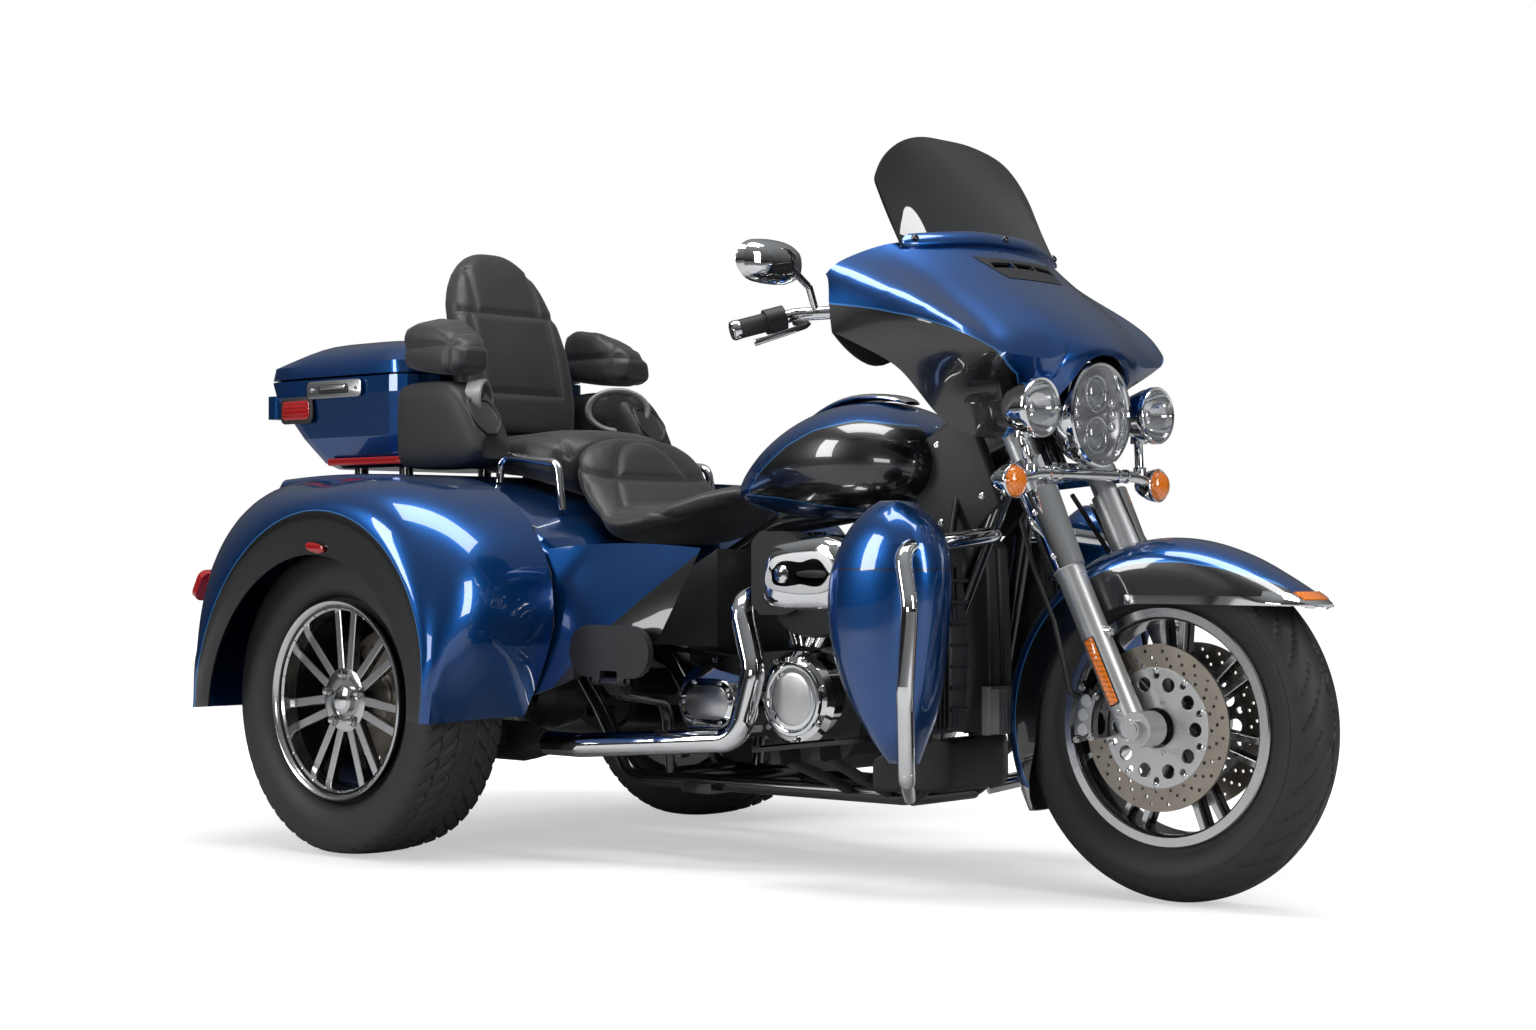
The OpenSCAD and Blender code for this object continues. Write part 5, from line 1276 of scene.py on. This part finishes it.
def air_cleaner():
    bm = bmesh.new()
    cover = closed([(198, 560), (201, 615), (228, 648), (300, 662), (376, 666), (426, 640), (446, 588), (434, 545),
                    (400, 522),
                    (310, 517), (226, 522)])
    pillow(bm, cover, (0.322, 0.592), [(-0.150, 0.004), (-0.160, 0.0), (-0.205, 0.0), (-0.220, 0.003),
                                       (-0.231, 0.010), (-0.2375, 0.020),
                                        (-0.2400, 0.034), (-0.2400, 0.060)])
    face = closed([(232, 566), (236, 608), (262, 626), (330, 634), (378, 632), (404, 608), (410, 586), (398, 566),
                   (370, 554), (300, 552)])
    pillow(bm, face, (0.322, 0.592), [(-0.236, 0.0), (-0.2415, 0.0), (-0.2435, 0.0018), (-0.2438, 0.006),
                                      (-0.2438, 0.020)], 1)
    slot = closed([(318, 586), (318, 596), (380, 598), (380, 584)], 3)
    pillow(bm, slot, (0.349, 0.591), [(-0.2430, 0.0), (-0.2446, 0.0), (-0.2450, 0.0010)], 2)
    revolve(bm, [(0, 0.006), (0.007, 0.0056), (0.012, 0.0035), (0.0165, 0.0028), (0.0185, 0.0), (0, -0.002)],
            (0.272, -0.2432, 0.590), (0, -1, 0), 40, 0)
    revolve(bm, [(0, 0.0075), (0.0045, 0.0072), (0.0060, 0.0055), (0, 0.005)], (0.272, -0.2432, 0.590), (0, -1, 0),
            24, 2)
    body = closed([(214, 530), (236, 488), (290, 468), (360, 470), (420, 494), (436, 540), (400, 600), (250, 600)])
    pillow(bm, body, (0.322, 0.545), [(-0.100, 0.010), (-0.108, 0.0), (-0.198, 0.0), (-0.208, 0.006),
                                      (-0.212, 0.018)], 2)
    new_piece("air_cleaner.cover", bm, [CHROME, COVER_FACE, ENGINE_BLACK], "chassis")


air_cleaner()


# Black covers round the steering head and inside the leg shields
def neck_covers(bm):
    outline = [(0.462, 0.738), (0.486, 0.850), (0.556, 0.893), (0.592, 0.900), (0.636, 0.806), (0.668, 0.724),
               (0.604, 0.664), (0.520, 0.664)]
    slab(bm, outline, lambda u, v, w: Vector((u, 0.040 + w, v)), 0.030, 0, 0.006, 3)
    inner = [(0.506, 0.300), (0.506, 0.640), (0.560, 0.690), (0.626, 0.655), (0.642, 0.450), (0.636, 0.300)]
    slab(bm, inner, lambda u, v, w: Vector((u, 0.128 + w, v)), 0.060, 0, 0.008, 3)
    spine = [(0.500, 0.285), (0.500, 0.655), (0.560, 0.690), (0.612, 0.640), (0.622, 0.450), (0.622, 0.285)]
    slab(bm, spine, lambda u, v, w: Vector((u, 0.002 + w, v)), 0.034, 0, 0.006, 3)
    for z in (0.340, 0.380, 0.420, 0.460, 0.500, 0.540, 0.580):
        rod(bm, (0.6405, 0.132, z), (0.6405, 0.184, z), 0.0035, 1, 10)
    for x, z in ((0.520, 0.840), (0.600, 0.870), (0.628, 0.740), (0.530, 0.690)):
        bolt(bm, (x, 0.0700, z), (0, 1, 0), 0.005, 0.004, 2, 16)


new_piece("neck_covers", mirrored(neck_covers), [PLASTIC, SATIN_BLACK, BRIGHT], "chassis")


def engine_lines(bm):
    """Wiring and coolant lines that run down behind the shields."""
    tube(bm, [(0.500, 0.060, 0.700), (0.535, 0.100, 0.620), (0.560, 0.104, 0.520), (0.545, 0.106, 0.420),
              (0.520, 0.110, 0.330)], 0.009, 14, 6, 0)
    tube(bm, [(0.470, 0.045, 0.690), (0.500, 0.075, 0.600), (0.480, 0.110, 0.500), (0.455, 0.112, 0.400)], 0.0065, 12,
         6, 0)
    tube(bm, [(0.560, 0.050, 0.760), (0.575, 0.090, 0.690), (0.590, 0.118, 0.640)], 0.0075, 12, 6, 0)


new_piece("engine_lines", mirrored(engine_lines), HOSE, "chassis")


# Rear lamps, latch, speakers and markers
def box_trim():
    bm = bmesh.new()
    for sign in (-1, 1):
        slab(bm, rounded(0.262, 0.017, 0.006, 3), lambda u, v,
             w: Vector((-0.980 + u, sign * (0.2612 + w), 0.840 + v)), 0.0045, 2, 0.0012)
        slab(bm, rounded(0.120, 0.062, 0.016, 4), lambda u, v,
             w: Vector((-1.196 + u, sign * (0.2852 + w), 0.962 + v)), 0.0050, 1, 0.0015)
        slab(bm, rounded(0.100, 0.044, 0.011, 4), lambda u, v,
             w: Vector((-1.196 + u, sign * (0.2896 + w), 0.962 + v)), 0.0035, 2, 0.0014)
    slab(bm, rounded(0.196, 0.040, 0.012, 4), lambda u, v, w: Vector((-1.053 + u, -0.2922 - w, 1.006 + v)), 0.0026, 0,
         0.0010)
    slab(bm, rounded(0.110, 0.022, 0.009, 4), lambda u, v, w: Vector((-1.053 + u, -0.2946 - w, 1.006 + v)), 0.0014, 1,
         0.0005)
    slab(bm, rounded(0.092, 0.009, 0.004, 3), lambda u, v, w: Vector((-1.053 + u, -0.2956 - w, 1.010 + v)), 0.0040, 0,
         0.0012)
    for x in (-1.135, -0.971):
        bolt(bm, (x, -0.2948, 1.006), (0, -1, 0), 0.0042, 0.003, 0, 16)
    new_piece("box_trim", bm, [SATIN, PLASTIC, RED], "chassis")


box_trim()


def box_foot(bm):
    """A black foot between the luggage box and the body."""
    slab(bm, rounded(0.330, 0.235, 0.040, 6), lambda u, v, w: Vector((-0.985 + u, 0.1175 + v, 0.776 + w)), 0.0312, 0,
         0.006, 2)


new_piece("box_foot", mirrored(box_foot), PLASTIC, "chassis")


def speaker(bm):
    """An oval speaker with a grey rim and a perforated cover, turned forward and inward."""
    at, out = Vector((-0.634, 0.206, 0.962)), Vector((0.80, -0.60, 0)).normalized()
    side, up = Vector((0.60, 0.80, 0)), Vector((0, 0, 1))

    def ring(a, b, w):
        return [at + side * (a * cos(t)) + up * (b * sin(t)) + out * w for t in (2 * pi * k / 56 for k in range(56))]

    ring_loft(bm, [ring(0.074, 0.050, -0.030), ring(0.077, 0.053, -0.002), ring(0.076, 0.052, 0.003),
                   ring(0.072, 0.048, 0.006),
                   ring(0.066, 0.043, 0.004), ring(0.064, 0.041, 0.0)], mat=0)
    ring_loft(bm, [ring(0.0645, 0.0415, -0.002), ring(0.060, 0.038, 0.0022), ring(0.035, 0.022, 0.0050),
                   ring(0.008, 0.005, 0.0062)], mat=1)


def dotted(name, pitch, dot, base):
    """A perforated sheet: round holes on a grid."""
    m = Mat(name, base, 0.5, 0.3)
    a = (m.y * (2 * pi / pitch)).sin() * (m.z * (2 * pi / pitch)).sin()
    hole = a.abs().above(0.45, 0.1)
    m.set("Base Color", m.mix(hole, base, dot))
    return m.bump(1 - hole, 0.0006, 0.6).data


GRILLE = dotted("speaker cover", 0.0060, (0.002, 0.002, 0.002), (0.035, 0.035, 0.036))
new_piece("speakers", mirrored(speaker), [MESH_GREY, GRILLE], "chassis")


def markers(bm):
    """Red oval lamps on the rear fenders' black flanges."""
    at = Vector((-0.604, 0.6935, 0.6420))
    along = Vector((0.985, 0, -0.17)).normalized()
    up = Vector((0.17, 0, 0.985)).normalized()
    oval = [(0.029 * (abs(cos(t)) ** 0.7) * (1 if cos(t) > 0 else -1),
             0.0098 * sin(t)) for t in (2 * pi * k / 32 for k in range(32))]
    slab(bm, oval, lambda u, v, w: at + along * u + up * v + Vector((0, w - 0.002, 0)), 0.0055, 0, 0.0016)


new_piece("fender_markers", mirrored(markers), RED, "chassis")


# Grips and levers
def hand_parts(bm):
    a, b = Vector((HEAD_X - 0.310, 0.330, 1.082)), Vector((HEAD_X - 0.377, 0.430, 1.049))
    axis = (b - a).normalized()
    length = (b - a).length
    profile, mats = [(0.0125, 0.022), (0.0185, 0.022)], [0]
    h = 0.026
    while h < length - 0.016:
        profile += [(0.0172, h), (0.0184, h + 0.0010), (0.0184, h + 0.0042), (0.0172, h + 0.0052)]
        h += 0.0062
    profile += [(0.0188, length - 0.012), (0.0192, length - 0.002), (0.0170, length + 0.003), (0, length + 0.0045)]
    mats = [0] * (len(profile) - 4) + [1, 1, 1]
    revolve(bm, profile, a, axis, 40, mats)
    lever = [a + Vector((0.012, 0.010, -0.014)), a + Vector((0.050, 0.020, -0.021)),
             a + (b - a) * 0.45 + Vector((0.064, 0.012, -0.024)),
             b + Vector((0.058, 0.004, -0.026))]
    tube(bm, lever, [0.0060, 0.0062, 0.0058, 0.0072], 14, 6, 1, 0.62)


new_piece("grips_and_levers", mirrored(hand_parts), [RUBBER, CHROME], "steering", sharp=45)


def mirror_glass(bm):
    at = Vector((0.4040, 0.440, 1.170))
    oval = [(0.079 * cos(t), 0.038 * sin(t)) for t in (2 * pi * k / 48 for k in range(48))]
    slab(bm, oval, lambda u, v, w: at + Vector((-w + 0.0005, u, v)), 0.0018, 0, 0.0006)


new_piece("mirror_glasses", mirrored(mirror_glass), MIRROR, "steering")

# Footboards
BOARDS = dress("rider_footboards", [PLASTIC], level=0, crease=30)
patch(BOARDS, "rider_board_pads", [], 0.0004, 0.0042, RUBBER_RIBBED, lambda c,
      n: n.z > 0.80 and abs(c.y) > 0.20, 30)
for side in ("right", "left"):
    board = dress(f"passenger_board_{side}", [PLASTIC], level=0, crease=30)
    patch(board, f"passenger_board_{side}.pad", [], -0.001, 0.0030, RUBBER_RIBBED, lambda c,
          n: abs(n.y) > 0.9, 30)

# Boot door: a handle and a bare plate recess
def door_trim():
    bm = bmesh.new()
    x = -1.1785
    slab(bm, rounded(0.190, 0.115, 0.010, 3), lambda u, v, w: Vector((x - w, u, 0.600 + v)), 0.0022, 1, 0.0008)
    for u, v in ((-0.085, 0.045), (0.085, 0.045), (-0.085, -0.045), (0.085, -0.045)):
        bolt(bm, (x - 0.002, u, 0.600 + v), (-1, 0, 0), 0.004, 0.003, 2, 16)
    slab(bm, rounded(0.120, 0.024, 0.011, 4), lambda u, v, w: Vector((x - w, u, 0.725 + v)), 0.0045, 0, 0.0018)
    new_piece("boot_door_trim", bm, [CHROME, SATIN_BLACK, BRIGHT], body_of("trunk_door"))


door_trim()

# Seats and pads: stuffed covers drawn in along their seams
SEAT_STEP = 0.0055
STUFF_FRAMES = 20


def soft_start(node, warp=None):
    """The CAD solid as one even skin."""
    mesh = NODES[node].data.copy()
    if warp:
        for v in mesh.vertices:
            v.co = warp(v.co)
    rough = bpy.data.objects.new("rough", mesh)
    bpy.context.scene.collection.objects.link(rough)
    even = rough.modifiers.new("even", "REMESH")
    even.mode = "VOXEL"
    even.voxel_size = SEAT_STEP
    bpy.context.view_layer.update()
    fine = bpy.data.meshes.new_from_object(rough.evaluated_get(bpy.context.evaluated_depsgraph_get()))
    bpy.data.objects.remove(rough)
    bm = bmesh.new()
    bm.from_mesh(fine)
    bpy.data.meshes.remove(fine)
    for _ in range(5):
        bmesh.ops.smooth_vert(bm, verts=bm.verts, factor=0.5, use_axis_x=True, use_axis_y=True, use_axis_z=True)
    return bm


def stuff(bm, held, limit):
    """Blows the cover up under pressure while the held points stay, and caps how far each point goes."""
    mesh = bpy.data.meshes.new("cover")
    bm.to_mesh(mesh)
    cover = bpy.data.objects.new("cover", mesh)
    bpy.context.scene.collection.objects.link(cover)
    group = cover.vertex_groups.new(name="held")
    for v in bm.verts:
        weight = held(v.co, v.normal)
        if weight:
            group.add([v.index], weight, "REPLACE")
    cloth = cover.modifiers.new("stuffing", "CLOTH")
    cloth.settings.quality = 4
    cloth.settings.mass = 0.25
    cloth.settings.tension_stiffness = 22
    cloth.settings.compression_stiffness = 22
    cloth.settings.shear_stiffness = 12
    cloth.settings.bending_stiffness = 2.5
    cloth.settings.use_pressure = True
    cloth.settings.uniform_pressure_force = 4
    cloth.settings.effector_weights.gravity = 0
    cloth.settings.vertex_group_mass = "held"
    cloth.collision_settings.use_collision = False
    cloth.point_cache.frame_start = 1
    cloth.point_cache.frame_end = STUFF_FRAMES
    scene = bpy.context.scene
    for f in range(1, STUFF_FRAMES + 1):
        scene.frame_set(f)
    done = cover.evaluated_get(bpy.context.evaluated_depsgraph_get()).to_mesh()
    moves = [done.vertices[v.index].co - v.co for v in bm.verts]
    for v, move in zip(bm.verts, moves):
        if move.length > limit:
            move = move * (limit / move.length)
        v.co = v.co + move
    cover.evaluated_get(bpy.context.evaluated_depsgraph_get()).to_mesh_clear()
    bpy.data.objects.remove(cover)
    scene.frame_set(1)


def padded(node, name, seams, held, limit=0.007, depth=0.0045, reach=0.0085, warp=None):
    """A stuffed piece for a soft CAD node. Each seam gives a signed distance at a point, or None away from it."""
    bm = soft_start(node, warp)
    bm.verts.ensure_lookup_table()
    bm.verts.index_update()
    bm.normal_update()
    stuff(bm, held, limit)
    bm.normal_update()
    layers = [bm.verts.layers.float.new("seam_" + letter) for letter in "abc"]
    moves = []
    for v in bm.verts:
        sink = 0
        for i, layer in enumerate(layers):
            d = seams[i](v.co, v.normal) if i < len(seams) else None
            v[layer] = 0.05 if d is None else max(-0.05, min(0.05, d))
            if d is not None:
                sink = max(sink, depth * 2.718 ** (-(d / reach) ** 2))
        moves.append(-v.normal * sink)
    for v, move in zip(bm.verts, moves):
        v.co = v.co + move
    piece = new_piece(name, bm, LEATHER, body_of(node), (node,), 1, None)
    return piece


def rider_edge(p, n):
    """Along the rim of the rider's sitting panel."""
    if n.z < 0.25:
        return None
    if p.x < -0.12:
        return hypot((p.x + 0.205) * 0.95, p.y) - 0.150
    return None


def rider_side(p, n):
    """Low on the side panels, from the nose back."""
    if abs(n.z) > 0.75:
        return None
    return p.z - (0.700 + 0.10 * max(0, -0.10 - p.x) / 0.3 * 1.3)


def passenger_edge(p, n):
    return abs(p.y) - 0.158 if n.z > 0.15 else None


def passenger_cross(p, n):
    return p.x + 0.470 if n.z > 0.35 and abs(p.y) < 0.158 else None


def back_cross(p, n):
    return p.z - 1.180 if n.x > 0.15 else None


def back_frame(p, n):
    return max(abs(p.y) - 0.118, 0.995 - p.z) if n.x > 0.2 and p.z < 1.180 else None


def back_top(p, n):
    return abs(p.y) - 0.096 if n.x > 0.2 and 1.180 < p.z < 1.285 else None


def pad_middle(p, n):
    return p.z - 1.086 if n.z < 0.9 else None


def pad_front(p, n):
    return p.x + 0.652


def pad_shape(p):
    """Squarer pads that rise toward the backrest."""
    q = square_up(p, (0.2465, 1.082), (0.054, 0.058), 3, 6)
    rise = max(0, q.z - 1.05) / 0.09 * 0.022 * max(0, 1 - (abs(q.y) - 0.190) / 0.10)
    return Vector((q.x - 0.004, q.y, q.z + rise))


def back_shape(p):
    """Shoulders that spread toward the pads."""
    if p.x < -0.800:
        return Vector(p)
    ease = min(1, (p.x + 0.800) / 0.012)
    wide = knots(p.z, [(0.90, 1.02), (1.00, 1.08), (1.13, 1.08), (1.19, 1.0)])
    return Vector((p.x, p.y * (1 + (wide - 1) * ease), p.z))


padded("rider_seat", "rider_seat.cover", [rider_edge, rider_side], lambda p, n: 1.0 if n.z < -0.4 else 0.15)
padded("passenger_seat", "passenger_seat.cover", [passenger_edge, passenger_cross], lambda p,
       n: 1.0 if n.z < -0.4 else 0.15)
padded("backrest", "backrest.cover", [back_cross, back_frame, back_top], lambda p, n: 1.0 if n.x < -0.3 else 0.12,
       0.007, warp=back_shape)
padded("lid_pads", "lid_pads.cover", [pad_middle, pad_front], lambda p, n: 1.0 if n.x < -0.6 else 0.2, 0.006,
       warp=pad_shape)


# Stage
def stage():
    bm = bmesh.new()
    revolve(bm, [(0, 0), (30, 0)], (0, 0, -0.0005), (0, 0, 1), 96)
    mesh = bpy.data.meshes.new("floor")
    bm.to_mesh(mesh)
    bm.free()
    m = Mat("floor", (0.55, 0.55, 0.555), 0.9)
    m.set("Base Color", m.mix(m.noise(0.6, 1), (0.54, 0.54, 0.545), (0.56, 0.56, 0.565)))
    far = (m.x * m.x + m.y * m.y).power(0.5)
    glow = m.ramp(far, [(1.0, 0.50), (2.6, 1.0)])
    seen = Val(m, m.node("ShaderNodeLightPath").outputs["Is Camera Ray"])
    m.set("Emission Color", m.mix(glow * seen, (0, 0, 0), (1, 1, 1)))
    m.set("Emission Strength", 1.0)
    mesh.materials.append(m.data)
    floor = bpy.data.objects.new("floor", mesh)
    bpy.context.scene.collection.objects.link(floor)
    world = bpy.data.worlds.new("studio")
    bpy.context.scene.world = world
    world.use_nodes = True
    tree = world.node_tree
    background = tree.nodes["Background"]
    path = tree.nodes.new("ShaderNodeLightPath")
    mix = tree.nodes.new("ShaderNodeMix")
    mix.data_type = "RGBA"
    where = tree.nodes.new("ShaderNodeTexCoord")
    parts = tree.nodes.new("ShaderNodeSeparateXYZ")
    tree.links.new(where.outputs["Generated"], parts.inputs[0])
    ramp = tree.nodes.new("ShaderNodeValToRGB")
    ramp.color_ramp.elements[0].position = 0.0
    ramp.color_ramp.elements[0].color = (0.015, 0.015, 0.016, 1)
    ramp.color_ramp.elements[1].position = 0.9
    ramp.color_ramp.elements[1].color = (0.34, 0.35, 0.36, 1)
    tree.links.new(parts.outputs[2], ramp.inputs[0])
    tree.links.new(path.outputs["Is Camera Ray"], mix.inputs[0])
    tree.links.new(ramp.outputs[0], mix.inputs[6])
    mix.inputs[7].default_value = (1, 1, 1, 1)
    tree.links.new(mix.outputs[2], background.inputs["Color"])
    background.inputs["Strength"].default_value = 1.0


def area(name, at, aim, size, power):
    data = bpy.data.lights.new(name, "AREA")
    data.shape = "RECTANGLE"
    data.size, data.size_y = size
    data.energy = power
    lamp = bpy.data.objects.new(name, data)
    bpy.context.scene.collection.objects.link(lamp)
    lamp.location = at
    lamp.rotation_euler = (Vector(aim) - Vector(at)).to_track_quat("-Z", "Y").to_euler()


stage()
for row in (("overhead", (0.4, -0.4, 4.0), (0.1, 0, 0.6), (4.2, 1.3), 150),
            ("left_front", (-2.4, -4.2, 2.4), (-0.2, 0, 0.6), (1.0, 2.6), 95),
            ("right_side", (4.6, -0.4, 2.0), (0.6, 0, 0.6), (0.9, 2.2), 75),
            ("low_front", (1.9, -4.6, 0.9), (0.3, 0, 0.4), (1.6, 0.7), 26)):
    area(*row)

bpy.context.scene.view_settings.view_transform = "Standard"
